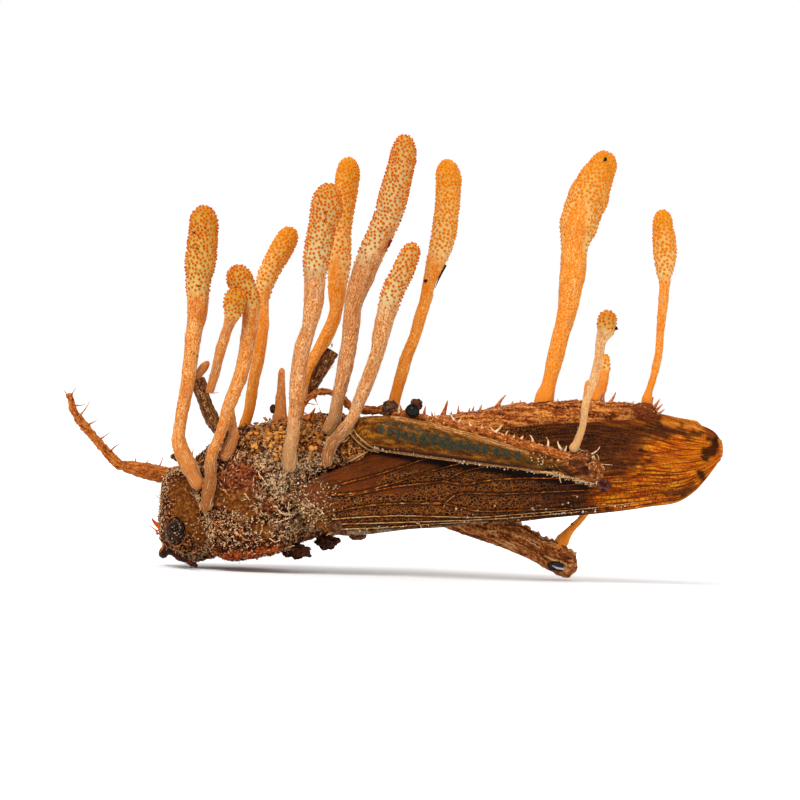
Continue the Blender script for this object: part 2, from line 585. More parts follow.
def speckle_group():
    """Scattered soft dots: 1 in a dot and 0 around it."""
    inputs = {"Place": "Vector", "Scale": "Float", "Size": "Float"}
    tree, nodes, given, out = new_group("speckle", inputs, "Value", "Float")
    wobble = nodes.add("ShaderNodeTexNoise", {"Vector": given["Place"], "Scale": 9.0}).outputs["Color"]
    moved = nodes.vectors("ADD", given["Place"], nodes.vectors("MULTIPLY", wobble, (0.12, 0.12, 0.12)))
    away = nodes.cells(moved, given["Scale"])
    tree.links.new(nodes.remap(nodes.maths("SUBTRACT", given["Size"], away), 0.0, 0.1), out)
    return tree


THREE_TONES, STREAKS, SPECKLE = three_tones_group(), streaks_group(), speckle_group()


class Finish(Nodes):
    """A new material's nodes. Plain numbers are set on the shader's own sockets."""

    def __init__(self, name, **constants):
        self.material = bpy.data.materials.new(name)
        self.material.use_nodes = True
        super().__init__(self.material.node_tree)
        self.shader = self.tree.nodes["Principled BSDF"]
        for key, value in {"Specular_IOR_Level": SHEEN, **constants}.items():
            self.shader.inputs[key.replace("_", " ")].default_value = value

    def surface(self, base, roughness=None, height=None, depth=0.04):
        """The material, with a colour, a roughness and a relief, `depth` millimetres high, linked."""
        feeds = {"Base Color": base, "Roughness": roughness}
        if height is not None:
            bump = self.add("ShaderNodeBump", {"Height": height, "Distance": depth * MM})
            feeds["Normal"] = bump.outputs["Normal"]
        for key, value in feeds.items():
            if value is not None:
                self.tree.links.new(value, self.shader.inputs[key])
        return self.material


# ==== Stromata ====
def stroma_skin(look, deep, skin, streak, base, ripe, foot):
    """A stroma's skin: a streaked stalk below a fertile head, which is paler at its base."""
    nodes = Finish(look + " stroma skin", Subsurface_Weight=0.22, Subsurface_Scale=0.5 * MM,
                   Subsurface_Radius=(1.0, 0.45, 0.15), IOR=1.42)
    place = nodes.read("skin_place", "Vector")
    fine = nodes.streaks(place, 8.0, 1.5)
    value = nodes.plus(nodes.times(nodes.streaks(place, 4.6, 9.0), 0.25), nodes.times(fine, 0.76))
    stalk = nodes.tones(value, deep, skin, streak)
    stalk = nodes.mix(nodes.remap(nodes.noise(place, 0.8, 2.0), 0.45, 0.75, 0.0, 0.6), stalk, deep)
    stalk = nodes.mix(nodes.remap(nodes.read("foot_share"), 0.1, 1.0, 0.0, 0.8), stalk, foot)
    stalk = nodes.over(stalk, "browned", nodes.mix(fine, (104, 52, 20), (190, 120, 62)))
    stalk = nodes.mix(nodes.times(nodes.dots(place, 3.4, 0.1), 0.45), stalk, deep)
    grain = nodes.noise(place, 6.0, 3.0, 0.7)
    riper = nodes.plus(nodes.read("ripeness"), nodes.spread(grain, -0.25, 0.25))
    tinted = nodes.over(stalk, "head_share", nodes.ramp(riper, 0.05, 0.95, base, ripe))
    height = nodes.plus(value, nodes.times(grain, 0.4))
    return nodes.surface(tinted, nodes.remap(fine, 0.0, 1.0, 0.45, 0.7), height, 0.045)


def flask_skin(look, side, tip):
    """Spore flasks: yellow-orange sides with a deeper orange mouth."""
    nodes = Finish(look + " spore flasks", Subsurface_Weight=0.15, Subsurface_Scale=0.2 * MM,
                   Subsurface_Radius=(1.0, 0.4, 0.1))
    uneven = nodes.noise(nodes.read("skin_place", "Vector"), 3.0, 2.0)
    value = nodes.plus(nodes.read("tip_height"), nodes.spread(uneven, -0.2, 0.2))
    return nodes.surface(nodes.ramp(value, 0.22, 0.6, side, tip), nodes.spread(uneven, 0.3, 0.5))


def thread_skin(name, dull, pale):
    """Threads of mycelium: each has its own shade, from the number that it carries."""
    nodes = Finish(name, Subsurface_Weight=0.1, Subsurface_Scale=0.1 * MM)
    uneven = nodes.noise(nodes.place(), 2500.0, 2.0)
    value = nodes.plus(nodes.read("shade"), nodes.spread(uneven, -0.15, 0.15))
    return nodes.surface(nodes.ramp(value, 0.1, 0.9, dull, pale), nodes.spread(uneven, 0.5, 0.8))


# look: the stalk's pits, skin and streaks, the head's base and ripe top, and the foot; a flask's
# side and mouth; the gap between flasks, their radius and height; and how many fibrils
LOOKS = {
    "pale": ((182, 92, 28), (224, 148, 78), (255, 214, 162), (226, 202, 148), (214, 162, 84),
             (178, 130, 80), (242, 154, 26), (206, 80, 4), 0.24, 0.12, 0.16, 560),
    "orange": ((204, 94, 16), (230, 144, 60), (255, 206, 136), (226, 192, 112), (208, 142, 50),
               (200, 124, 62), (240, 150, 18), (200, 78, 2), 0.238, 0.12, 0.15, 320),
    "cream": ((212, 138, 72), (238, 178, 112), (252, 216, 164), (226, 176, 96), (204, 132, 44),
              (214, 160, 102), (236, 150, 36), (196, 82, 6), 0.25, 0.12, 0.11, 200),
    "glowing": ((234, 118, 14), (242, 148, 44), (255, 204, 124), (250, 208, 138), (228, 146, 36),
                (244, 140, 36), (248, 158, 24), (230, 118, 6), 0.245, 0.135, 0.1, 60),
}
STALK_SKINS = {look: stroma_skin(look, *row[:6]) for look, row in LOOKS.items()}
FLASK_SKINS = {look: flask_skin(look, *row[6:8]) for look, row in LOOKS.items()}
FIBRIL_SKIN = thread_skin("fibrils", (214, 146, 92), (246, 216, 178))

BROWNED = {  # how far up a stalk its brown foot reaches, in millimetres, and how brown it is
    "stroma_03": (7.0, 0.9), "stroma_05": (2.5, 0.5), "stroma_10": (5.5, 0.85), "stroma_09": (2.0, 0.2),
}
BARE_SIDES = {  # where smooth stalk rises into a head: the way it faces and the share it takes
    "stroma_09": ((0.9, -0.5, 0.0), 0.4), "stroma_12": ((-0.25, -1.0, 0.0), 0.56),
    "stroma_08": ((-0.3, -1.0, 0.0), 0.2), "stroma_04": ((0.6, -0.8, 0.0), 0.2),
}

FLASKS_TRIED = 80  # random places for them on each square millimetre
FLASK_PROFILE = ((1.25, -0.25), (1.0, 0.15), (0.82, 0.58), (0.45, 0.92))  # of radius and height
FLASK_SIDES = 7
SKIN_STEP = 0.21  # from one ring of a stroma to the next
ROUNDING = (0.25, 0.48, 0.68, 0.84, 0.94, 0.99)  # where the rings lie that round an end off

SHALLOW_FEET = {"stroma_13": 0.1}  # millimetres that a foot goes on below its path
FOOT_SUNK, FOOT_FLARE = 0.8, 1.1
ROUND_FEET = ("stroma_01", "stroma_03", "stroma_05", "stroma_07", "stroma_09", "stroma_10")
FULL_LENGTH = 20  # of a stalk with all its fibrils
FEWEST_FIBRILS = 30


def stroma_path(name):
    """A stroma's path as rows of drawn x, z, radius and depth, with both ends rounded off, and how
    far along it each row lies."""
    depths, _, _, outline = STROMATA[name]
    rows = evenly(spline(outline[:-1]), SKIN_STEP)
    low = min(6, len(rows) - 1)
    if name in ROUND_FEET:
        rows[:low, 2] = np.maximum(rows[:low, 2], 0.9 * rows[low, 2])
        sunk = 0.0
    else:
        rows[:low, 2] *= np.linspace(FOOT_FLARE, 1.0, low)
        sunk = SHALLOW_FEET.get(name, FOOT_SUNK)
    shares = np.array(ROUNDING)[:, None]
    radii = np.sqrt(1 - shares**2)
    end = np.hstack((rows[-1, :2] + (outline[-1][:2] - rows[-1, :2]) * shares, rows[-1, 2] * radii))
    back = unit(rows[0, :2] - rows[1, :2]) * rows[0, 2]
    start = np.hstack((rows[0, :2] + back * shares, rows[0, 2] * radii))[::-1]
    start[:, :2] += back / rows[0, 2] * sunk
    rows = np.vstack((start, rows, end))
    gone = distances(rows[:, :2])
    share = gone / gone[-1]
    near = depths[0] + (depths[1] - depths[0]) * share
    far = depths[1] + (depths[2] - depths[1]) * share
    return np.column_stack((rows, near + (far - near) * share)), gone


def flasks(points, cover, places, ripeness, look):
    """Spore flasks on a head, thrown at random but clear of each other, thinning out at its base."""
    least, wide, tall, _ = LOOKS[look][8:]
    weight = cover.reshape(-1)
    area = SKIN_STEP * sum(np.linalg.norm(ring - np.roll(ring, 1, axis=0), axis=1).sum()
                           for ring, share in zip(points, cover.max(axis=1)) if share > 0.01)
    faces = grid_faces(*points.shape[:2]).tolist()
    found, normals, corners = scattered(points.reshape(-1, 3), faces, int(FLASKS_TRIED * area), weight)
    thinning = 1 + 0.9 * (1 - weight[corners]) + 0.22 * (1 - ripeness.reshape(-1)[corners])
    kept = spaced(found, least * thinning * DRAW.uniform(0.96, 1.06, len(found)))
    found, normals, corners = found[kept], normals[kept], corners[kept]
    grown = (DRAW.uniform(0.85, 1.12, len(kept)) * (0.72 + 0.28 * weight[corners]))[:, None, None]
    side = unit(np.cross(normals, (0.3, 0.2, 1)))
    outward, _ = wheel(side, np.cross(normals, side), FLASK_SIDES)
    up = normals[:, None]
    levels = [found[:, None] + grown * (wide * radius * outward + tall * height * up)
              for radius, height in FLASK_PROFILE]
    mesh = np.concatenate((*levels, found[:, None] + grown * tall * up), axis=1)
    number, count, _ = mesh.shape
    last = count - 1 - FLASK_SIDES
    lid = [(last + k, last + (k + 1) % FLASK_SIDES, count - 1) for k in range(FLASK_SIDES)]
    faces = repeated(number, count, grid_faces(len(FLASK_PROFILE), FLASK_SIDES), lid)
    heights = [max(height, 0) for _, height in FLASK_PROFILE for _ in range(FLASK_SIDES)] + [1]
    own_place = np.repeat(places.reshape(-1, 3)[corners], count, axis=0)
    return mesh.reshape(-1, 3), faces, {"skin_place": own_place, "tip_height": np.tile(heights, number)}


def fibrils(points, outward, number, weight):
    """Fine fibrils that lie along a stalk and lift off it here and there."""
    rings, sides, _ = points.shape
    start = DRAW.integers(2, rings - 10, number * 3)
    start = start[DRAW.random(len(start)) < weight[start]][:number]
    number = len(start)
    column = DRAW.random(number) * sides
    drift = DRAW.normal(0, 1.1, number)
    reach = DRAW.integers(1, 5, number)
    paths = []
    for share in np.linspace(0, 1, 4):
        row = np.clip(np.round(start + reach * share).astype(int), 0, rings - 1)
        at = (column + drift * share) % sides
        low = np.floor(at).astype(int) % sides
        part = (at - np.floor(at))[:, None]
        place = points[row, low] * (1 - part) + points[row, (low + 1) % sides] * part
        lift = 0.012 + 0.05 * np.abs(DRAW.normal(size=number)) * share**2
        paths.append(place + outward[row, low] * lift[:, None])
    thickness = DRAW.uniform(0.012, 0.024, number)[:, None] * np.array((0.7, 1, 0.9, 0.4))
    mesh, faces = strands(np.stack(paths, axis=1), thickness)
    return mesh, faces, {"shade": np.repeat(DRAW.uniform(0, 1, number), len(mesh) // number)}


def add_stroma(name):
    """One stroma: stalk and head in one skin, with flasks and fibrils on it. Returns its points and
    the way out from each."""
    _, head, look, _ = STROMATA[name]
    path, gone = stroma_path(name)
    sides = 34 if head >= 3 else 24
    centres = placed(path[:, 0], path[:, 1], path[:, 3])
    seed = sum(map(ord, name))
    points, outward, turn = rings_along(centres, path[:, 2], sides)
    from_tip = gone[-1] - gone
    winding = turn + 0.25 * np.sin(gone * 0.4)[:, None]
    lengthwise = np.stack(np.broadcast_arrays(
        np.cos(winding) * 1.1, np.sin(winding) * 1.1, gone[:, None] * 0.16), axis=-1)
    along = np.stack((gone * 0, gone * 0 + seed, gone), axis=-1)
    wobble = lumps(along, 1.6, seed) + 0.6 * lumps(along, 0.6, seed + 3)
    ridges = lumps(lengthwise, 0.42, seed) + 0.5 * lumps(lengthwise, 0.2, seed + 1)
    turned_to, bare = BARE_SIDES.get(name, ((0, 0, 1), 0))
    facing = np.maximum(0, outward @ unit(np.array(turned_to, float)))**3
    starts = head * (1 - bare * facing + 0.06 * lumps(points, 0.9, seed + 5))
    fertile = 1 - ramp(from_tip[:, None], starts * 0.84, starts * 1.04) if head else 0 * facing
    ripeness = np.clip(1 - from_tip[:, None] / max(head, 0.1), 0, 1) * np.ones(sides)
    calm = np.minimum(1, np.minimum(gone, from_tip) / 0.5)[:, None]
    relief = 0.05 * wobble[:, None] + 0.07 * ridges * (1 - 0.6 * fertile)
    relief = relief + 0.03 * lumps(points, 0.35, seed + 2)
    points = points + outward * (path[:, 2, None] * relief * calm)[..., None]
    radius = np.linalg.norm(points - centres[:, None], axis=-1)
    places = np.stack((radius * np.cos(turn) + seed, radius * np.sin(turn),
                       gone[:, None] * np.ones(sides)), axis=-1)
    reach, shade = BROWNED.get(name, (1.0, 0.0))
    browned = shade * (1 - ramp(gone[:, None] + 0.8 * lumps(points, 0.8, seed + 9), 0.4 * reach, reach))
    meshes = [tube(points, skin_place=places, head_share=fertile, ripeness=ripeness, browned=browned,
                   foot_share=(1 - ramp(gone[:, None], 0.5, 7.0)) * np.ones(sides))]
    finishes = [STALK_SKINS[look]]
    if head:
        cover = np.where(fertile > 0.12, fertile, 0.0)
        meshes.append(flasks(points, cover, places, ripeness, look))
        finishes.append(FLASK_SKINS[look])
    number = max(int(LOOKS[look][-1] * min(1, gone[-1] / FULL_LENGTH)), FEWEST_FIBRILS)
    meshes.append(fibrils(points, outward, number, 1.02 - fertile.mean(axis=1)))
    add_piece("dressed_" + name, meshes, [*finishes, FIBRIL_SKIN], [name])
    return points, outward


STROMA_SURFACES = [add_stroma(name) for name in STROMATA]


# ==== The insect's surfaces ====
NECK_LEAN = ((-21.8, 0.0), (-21.0, -0.13), (-18.9, -0.15), (-17.8, -0.26), (-16.8, -0.13),
             (-10.2, -0.13), (-9.8, 0.0))  # how far a section leans forward at x, for each mm up
BODY_STEP, BODY_COLUMNS = 0.16, 190
FAR_OFF = 99.0  # millimetres, more than any two points are apart
AT_ONCE = 20000  # points that are measured together, which keeps the tables small
FACING = 0.25  # a surface whose normal points less than this away from the viewer can be seen
BESIDE = 0.04  # square millimetres in the picture, past which a place lies beside a surface
IN_FRONT = 0.01  # square millimetres in the picture that being a millimetre nearer outweighs


def loft(sections, step, outline_at, leaning=False):
    """Rings through sections (x, top, bottom, half width, depth), with the normals and each
    point's x and how far up its section it lies."""
    x, top, bottom, width, depth = evenly(spline(sections), step, measured=1).T[..., None]
    across, up = np.moveaxis(outline_at(x), -1, 0)
    reach = (top - bottom) / 2
    lean = np.interp(x, *np.transpose(NECK_LEAN)) if leaning else 0 * x
    points = placed(x + lean * reach * up, (top + bottom) / 2 + reach * up, depth, width * across)
    after = np.roll(points, -1, axis=1) - np.roll(points, 1, axis=1)
    normals = unit(np.cross(np.gradient(points, axis=0), after))
    return points, normals, x + 0 * up, up + 0 * x


def blots(points, patches, ragged=0.35, seed=0.0):
    """How far points lie in ragged soft patches of the photograph, each given in its pixels as
    the middle's u and v and half the width and height. The far side has the same ones."""
    drawn = on_photo(points) + ragged * np.stack(
        (lumps(points, 0.7, seed + 11), lumps(points, 0.7, seed + 12)), axis=-1)
    share = np.zeros(points.shape[:-1])
    for u, v, across, down in patches:
        away = (((drawn - seen((u, v))) / (across * PIXEL, down * PIXEL))**2).sum(axis=-1)
        share = np.maximum(share, 1 - ramp(away, 0.45, 1.3))
    return share


def by_lines(points, lines, width):
    """How near points lie to lines through pixels of the photograph, from 0 to 1 on one."""
    drawn = on_photo(points).reshape(-1, 2)
    least = np.full(len(drawn), FAR_OFF)
    for line in lines:
        dense = evenly(spline(seen(line)), 0.1)
        for part in np.array_split(np.arange(len(drawn)), max(1, len(drawn) // AT_ONCE)):
            away = ((drawn[part][:, None] - dense[None])**2).sum(axis=-1).min(axis=1)
            least[part] = np.minimum(least[part], np.sqrt(away))
    return (1 - ramp(least, width * 0.4, width)).reshape(points.shape[:-1])


class Ground:
    """The viewer's side of some surfaces, for pieces that are placed by the photograph's pixels."""

    def __init__(self, *surfaces):
        points, normals = (np.vstack([surface[k].reshape(-1, 3) for surface in surfaces])
                           for k in (0, 1))
        facing = normals[:, 1] < FACING
        self.points, self.normals = points[facing], normals[facing]
        self.drawn = on_photo(self.points)

    def under(self, pairs):
        """The places and normals of the surface that the photograph shows at pixels, or of the
        nearest surface where they lie beside it."""
        drawn = seen(pairs).reshape(-1, 2)
        away = ((drawn[:, None] - self.drawn[None])**2).sum(axis=-1)
        # The one in front wins where two lie at much the same place in the picture.
        score = away + IN_FRONT * (self.points[:, 1] - self.points[:, 1].min())
        nearest = score.argmin(axis=1)
        beside = away[np.arange(len(drawn)), nearest] > BESIDE
        drawn = np.where(beside[:, None], self.drawn[nearest], drawn)
        depth = self.points[nearest, 1] - CENTRE[1]
        return placed(drawn[:, 0], drawn[:, 1], depth), self.normals[nearest]

    def at(self, u, v):
        """The one place under a pixel."""
        return self.under([(u, v)])[0][0]


def threads(places, normals, count, lengths, radii, lift, curl, shades):
    """Short bent threads of `count` points that start on a surface."""
    number = len(places)
    heading = unit(np.cross(normals, DRAW.normal(size=(number, 3))))
    sideways = np.cross(normals, heading)
    share = np.linspace(0, 1, count)[None, :, None]
    lengths, lift, bend = (np.reshape(given, (-1, 1, 1)) for given in (lengths, lift, curl))
    straight = np.abs(bend) < 1e-3
    divisor = np.where(straight, 1, bend)
    wound = np.where(straight, share, np.sin(bend * share) / divisor)
    aside = np.where(straight, 0, (1 - np.cos(bend * share)) / divisor)
    paths = (places[:, None] + lengths * (heading[:, None] * wound + sideways[:, None] * aside)
             + lift * normals[:, None] * np.sin(share * 2.4))
    taper = 1 - 0.55 * np.linspace(0, 1, count)**2
    mesh, faces = strands(paths, np.reshape(radii, (-1, 1)) * taper)
    return mesh, faces, {"shade": np.repeat(shades, len(mesh) // number)}


# ---- Where the crust changes, in the photograph's pixels: u, v, half width, half height ----
RED_PATCHES = ((240, 477, 19, 18), (236, 470, 12, 8), (250, 492, 13, 10), (312, 449, 9, 9),
               (268, 505, 8, 8), (286, 498, 7, 6), (222, 478, 5, 10))
BROWN_PATCHES = ((236, 501, 20, 12), (214, 492, 7, 18), (245, 515, 14, 7), (262, 530, 12, 8))
GLOSSY_EDGE = ((226, 558, 20, 5), (250, 556, 18, 5), (270, 550, 12, 4))
WHITE_CRUST = ((280, 482, 14, 22), (292, 470, 16, 12), (268, 462, 14, 10), (312, 462, 12, 12),
               (285, 530, 18, 8), (330, 455, 10, 10), (310, 528, 20, 5), (258, 500, 6, 14))
WING_HOLLOW = ((306, 492, 16, 8), (326, 488, 20, 14), (322, 508, 20, 14), (340, 480, 16, 14))
OCHRE_CRUST = ((268, 437, 22, 14), (286, 447, 20, 16), (250, 442, 12, 10), (318, 430, 22, 12),
               (356, 448, 16, 14), (300, 436, 16, 10))
FACE_OCHRE = ((186, 512, 15, 24), (182, 492, 15, 16), (200, 535, 9, 14))
PALE_LINES = (
    ((222, 470), (233, 464), (246, 459), (258, 463), (268, 474), (276, 488), (284, 502)),
    ((193, 485), (197, 495), (202, 505), (206, 512), (209, 520), (213, 530), (209, 545)),
    ((291, 521), (298, 526), (306, 527), (318, 522), (330, 516)),
    ((246, 496), (251, 503), (258, 512)),
)


def crust_skin():
    """A cuticle under a crust of mycelium, from dark pits to pale tops."""
    nodes = Finish("mycelium crust")
    place = nodes.place()
    grain = nodes.noise(place, 4600.0, 3.0, 0.7)
    clumps = nodes.noise(place, 900.0, 3.0, 0.6)
    peak = nodes.times(nodes.read("peak"), 0.8)
    value = nodes.plus(peak, nodes.remap(grain, 0.32, 0.68, -0.62, 0.52))
    value = nodes.plus(value, nodes.remap(clumps, 0.35, 0.65, -0.14, 0.14))
    base = nodes.tones(value, (24, 6, 2), (118, 52, 20), (255, 180, 108))
    base = nodes.over(base, "red", nodes.ramp(grain, 0.38, 0.62, (38, 10, 3), (168, 78, 36)), 0.8)
    base = nodes.over(base, "ochre", nodes.ramp(value, 0.2, 0.9, (74, 28, 6), (255, 168, 76)), 0.8)
    base = nodes.over(base, "white", nodes.ramp(value, 0.15, 0.85, (78, 28, 10), (255, 212, 156)), 0.5)
    base = nodes.over(base, "smooth", nodes.ramp(grain, 0.34, 0.72, (80, 32, 6), (166, 96, 30)), 0.85)
    base = nodes.over(base, "glossy", nodes.ramp(grain, 0.36, 0.6, (70, 16, 4), (226, 92, 28)), 0.75)
    bare = nodes.plus(nodes.read("red"), nodes.read("glossy"))
    rough_share = nodes.remap(bare, 0.0, 1.0, 0.75, 0.38)
    return nodes.surface(base, rough_share, nodes.plus(grain, clumps), 0.22)


def ring_skin():
    """The abdomen's dry cuticle, drawn out in orange-brown pleats along its length."""
    nodes = Finish("abdomen skin")
    _, grain, value = nodes.dry_skin(2.6, 7.0, 0.6, 5.0, 0.45)
    value = nodes.plus(value, nodes.remap(nodes.read("peak"), 0.2, 0.8, -0.2, 0.2))
    base = nodes.tones(value, (70, 24, 6), (150, 70, 22), (240, 156, 72))
    base = nodes.over(base, "tail_end", nodes.mix(grain, (60, 20, 8), (150, 70, 28)))
    return nodes.surface(base, nodes.spread(grain, 0.45, 0.75), value, 0.12)


CRUST_SKIN, RING_SKIN = crust_skin(), ring_skin()
THREAD_SKIN = thread_skin("mycelium threads", (104, 40, 12), (255, 218, 164))
FRINGE_SKIN = thread_skin("orange threads", (180, 84, 24), (244, 170, 92))


def crusted(points, normals, height, seed, calm=0.0):
    """Points lifted into a lumpy crust, with how high each one stands from 0 to 1."""
    big, fine = rough(points, 1.1, 3, seed), rough(points, 0.34, 2, seed + 4)
    bits = np.maximum(0, lumps(points, 0.22, seed + 8))
    lift = (0.55 * big + 0.5 * fine + 0.75 * bits) * (1 - calm)
    moved = points + normals * (height * lift)[..., None]
    return moved, np.clip(0.42 + 0.55 * fine + 0.5 * bits + 0.25 * big, 0, 1)


def crust_values(points, peak, smooth):
    """What a crust's finish reads, and where its pale lines run."""
    lines = by_lines(points, PALE_LINES, 0.32) * ramp(rough(points, 0.8, 3, 15.0), -0.5, 0.3)
    return {
        "peak": peak + 0.2 * lines, "red": blots(points, RED_PATCHES), "smooth": smooth,
        "ochre": blots(points, OCHRE_CRUST, seed=2), "glossy": blots(points, GLOSSY_EDGE, seed=3),
        "white": np.clip(blots(points, WHITE_CRUST, seed=4) + 0.6 * lines, 0, 1)}, lines


def body_surface():
    """Pronotum and thorax as one skin, with its rim lines raised."""
    saddle, hull = around(SADDLE, BODY_COLUMNS), around(HULL, BODY_COLUMNS)

    def outline_at(x):
        share = ramp(x, -11.0, -8.6)[..., None]
        return saddle * (1 - share) + hull * share

    sections = [(*section, 0) for section in BODY]
    points, normals, _, up = loft(sections, BODY_STEP, outline_at, leaning=True)
    brown = blots(points, BROWN_PATCHES, seed=1)
    calm = np.maximum(blots(points, RED_PATCHES), brown) * 0.55
    moved, peak = crusted(points, normals, 0.34, 1.0, calm)
    values, lines = crust_values(points, peak, brown)
    inward = 0.2 * ramp(-up, 0.6, 0.95) + 0.5 * blots(points, WING_HOLLOW, seed=5)
    moved += normals * (0.22 * lines - inward)[..., None]
    values["red"] = np.maximum(values["red"], 0.75 * ramp(-up, 0.8, 0.95))
    return above_floor(moved), normals, values


EYE_PLACE, EYE_RADII = (-19.92, -11.66, 3.75), (0.9, 0.75, 1.28)  # drawn x, z and out to a side


def eye_middle(side):
    x, z, out = EYE_PLACE
    return placed(x, z, 0, side * out)


def head_surface():
    """The head's skin, with a dent and a raised rim about each eye."""
    outline = around(ROUND, 150)
    sections = [(*section, 0) for section in HEAD]
    points, normals, _, _ = loft(sections, 0.14, lambda x: outline, leaning=True)
    smooth = blots(points, FACE_OCHRE, seed=6)
    moved, peak = crusted(points, normals, 0.2, 30.0, 0.9 * smooth)
    values, lines = crust_values(points, peak, smooth)
    moved += normals * (0.18 * lines)[..., None]
    for side in (-1, 1):
        away = np.sqrt((((moved - eye_middle(side)) / EYE_RADII)**2).sum(axis=-1))
        rim = ramp(away, 1.1, 1.2) * (1 - ramp(away, 1.2, 1.5))
        moved += normals * (0.12 * rim - 0.35 * (1 - ramp(away, 1.0, 1.35)))[..., None]
    return above_floor(moved), normals, values


ABDOMEN_RINGS, RING_STEP = 11, 0.14
ABDOMEN_THORNS = (  # foot and tip, in the photograph's pixels
    (443, 414, 447.6, 400.4), (459, 412, 458.8, 405.7), (473, 411, 474, 406.5), (497, 406, 506, 395),
    (520, 404, 520.5, 400), (558, 403, 558, 398.5), (604, 404, 604.4, 394.5), (608, 404, 615.8, 392.3),
    (651, 404, 653.5, 397), (654, 406, 660, 399), (656, 409, 662.8, 404),
    (657, 413, 664.5, 409), (468, 415, 470, 408), (492, 412, 495, 405.5), (528, 409, 531, 403),
    (552, 412, 553, 404), (575, 410, 578, 404), (596, 412, 599, 406), (620, 411, 624, 405),
    (640, 411, 643, 405.5), (505, 414, 507, 409), (450, 417, 452, 411), (402, 417, 399.7, 404.4),
    (423, 419, 425.5, 406), (434.5, 421, 431.7, 411.5), (536, 403, 537, 399), (480, 409, 482, 405),
    (583, 403, 585, 398.5), (632, 405, 634, 401), (510, 405, 513, 401), (546, 403, 545, 399.6))


def abdomen_surface():
    """The abdomen's skin: overlapping rings under pleats and a low crust."""
    outline = around(HULL, 110)
    sections = [(*section, swing(section[0])) for section in ABDOMEN]
    points, normals, x, up = loft(sections, 0.15, lambda at: outline)
    length = (ABDOMEN[-1][0] - ABDOMEN[0][0]) / ABDOMEN_RINGS
    phase = (x - ABDOMEN[0][0]) / length % 1
    swell = RING_STEP * (phase - 0.5) * (1 - ramp(phase, 0.86, 1.0)) - 0.12 * ramp(phase, 0.9, 1.0)
    ridge = 0.14 * (1 - ramp(np.abs(up - 0.62), 0.03, 0.1)) * np.abs(np.sin(x * 5.2))
    pleats = lumps(np.stack((x * 0.5, up * 9, points[..., 1]), axis=-1), 1.0, 55.0)
    moved = points + normals * (swell + ridge + 0.06 * pleats)[..., None]
    moved, peak = crusted(moved, normals, 0.16, 50.0)
    peak = 0.5 + 0.6 * (peak - 0.5) + 0.3 * pleats + 0.15 * (phase - 0.5)
    values, _ = crust_values(points, peak, 0.0)
    values["skin_place"] = np.stack((points[..., 1], points[..., 2], x), axis=-1)
    values["tail_end"] = 0.9 * ramp(x, 19.5, 22.0)
    return moved, normals, values


def add_crusted(name, surface, skin, replaced):
    """The piece that a surface makes."""
    points, _, values = surface
    add_piece(name, [tube(points, True, **values)], [skin], replaced)


def add_threads(name, surface, number, length, skin):
    """Curled mycelium threads all over a crusted skin, sparser on its smooth patches."""
    points, normals, values = surface
    white, ochre, red, smooth = (np.ravel(values[key]) for key in ("white", "ochre", "red", "smooth"))
    weight = np.maximum(0.6 + 0.6 * white + 0.3 * ochre - 0.42 * red - 0.5 * smooth, 0.06)
    faces = grid_faces(*points.shape[:2]).tolist()
    places, _, corners = scattered(points.reshape(-1, 3), faces, number, weight)
    shades = np.clip(0.32 + 0.2 * white[corners] + DRAW.normal(0, 0.48, number), 0, 1)
    mesh = threads(
        places, normals.reshape(-1, 3)[corners], 4, DRAW.uniform(0.5, 1.25, number) * length,
        DRAW.uniform(0.026, 0.056, number), DRAW.uniform(0.02, 0.12, number),
        DRAW.normal(0, 2.0, number), shades)
    add_piece(name, [mesh], [skin])


BODY_SURFACE, HEAD_SURFACE, TAIL_SURFACE = body_surface(), head_surface(), abdomen_surface()
add_crusted("crusted_body", BODY_SURFACE, CRUST_SKIN, ["pronotum", "thorax"])
add_crusted("crusted_head", HEAD_SURFACE, CRUST_SKIN, ["insect_head"])
add_crusted("ringed_abdomen", TAIL_SURFACE, RING_SKIN, ["abdomen"])
add_threads("body_threads", BODY_SURFACE, 6800, 0.33, THREAD_SKIN)
add_threads("head_threads", HEAD_SURFACE, 1700, 0.26, THREAD_SKIN)
add_threads("abdomen_threads", TAIL_SURFACE, 1100, 0.3, FRINGE_SKIN)


# ==== Forewings ====
# Veins run through pixels of the photograph, from the body towards the tip.
MAIN_VEINS = (
    ((330, 487), (348, 482), (368, 477), (394, 469), (424, 459), (448, 452)),
    ((331, 495), (359, 492), (396, 482), (419, 474), (457.5, 464), (490, 456)),
    ((345, 496), (360, 493), (399, 486), (442, 481), (459, 473), (482, 467), (520, 460)),
    ((442, 481), (465, 484), (482, 481), (501, 479), (530, 478), (570, 478), (620, 476)),
    ((335, 511), (355.5, 507.5), (381, 504), (410, 503), (442, 503), (455, 495), (470, 493), (496, 494),
     (540, 492), (590, 490)),
    ((424, 503), (442, 503), (463, 507.5), (480.5, 511), (520, 510), (570, 508)),
)
LONG_VEINS = (  # closer to the lower edge
    ((332, 519), (360, 517), (400, 515.5), (440, 516.5), (480, 517), (520, 514), (580, 509), (640, 502)),
    ((335, 524), (372, 523), (420, 521.5), (470, 520), (520, 517), (580, 511.5)),
    ((340, 529), (380, 527.5), (430, 524), (470, 522)),
)
UPPER_VEINS = (
    ((420, 447), (470, 437), (540, 428), (600, 424), (650, 423)),
    ((470, 450), (540, 438), (600, 433), (660, 431)),
    ((540, 452), (600, 444), (660, 440), (700, 440)),
    ((600, 462), (640, 456), (680, 450), (714, 449)),
    ((600, 474), (640, 468), (680, 463), (712, 460)),
    ((560, 486), (620, 480), (670, 473), (707, 468)),
    ((560, 497), (620, 490), (670, 482), (704, 474)),
    ((580, 504), (630, 497), (670, 490), (698, 481)),
)
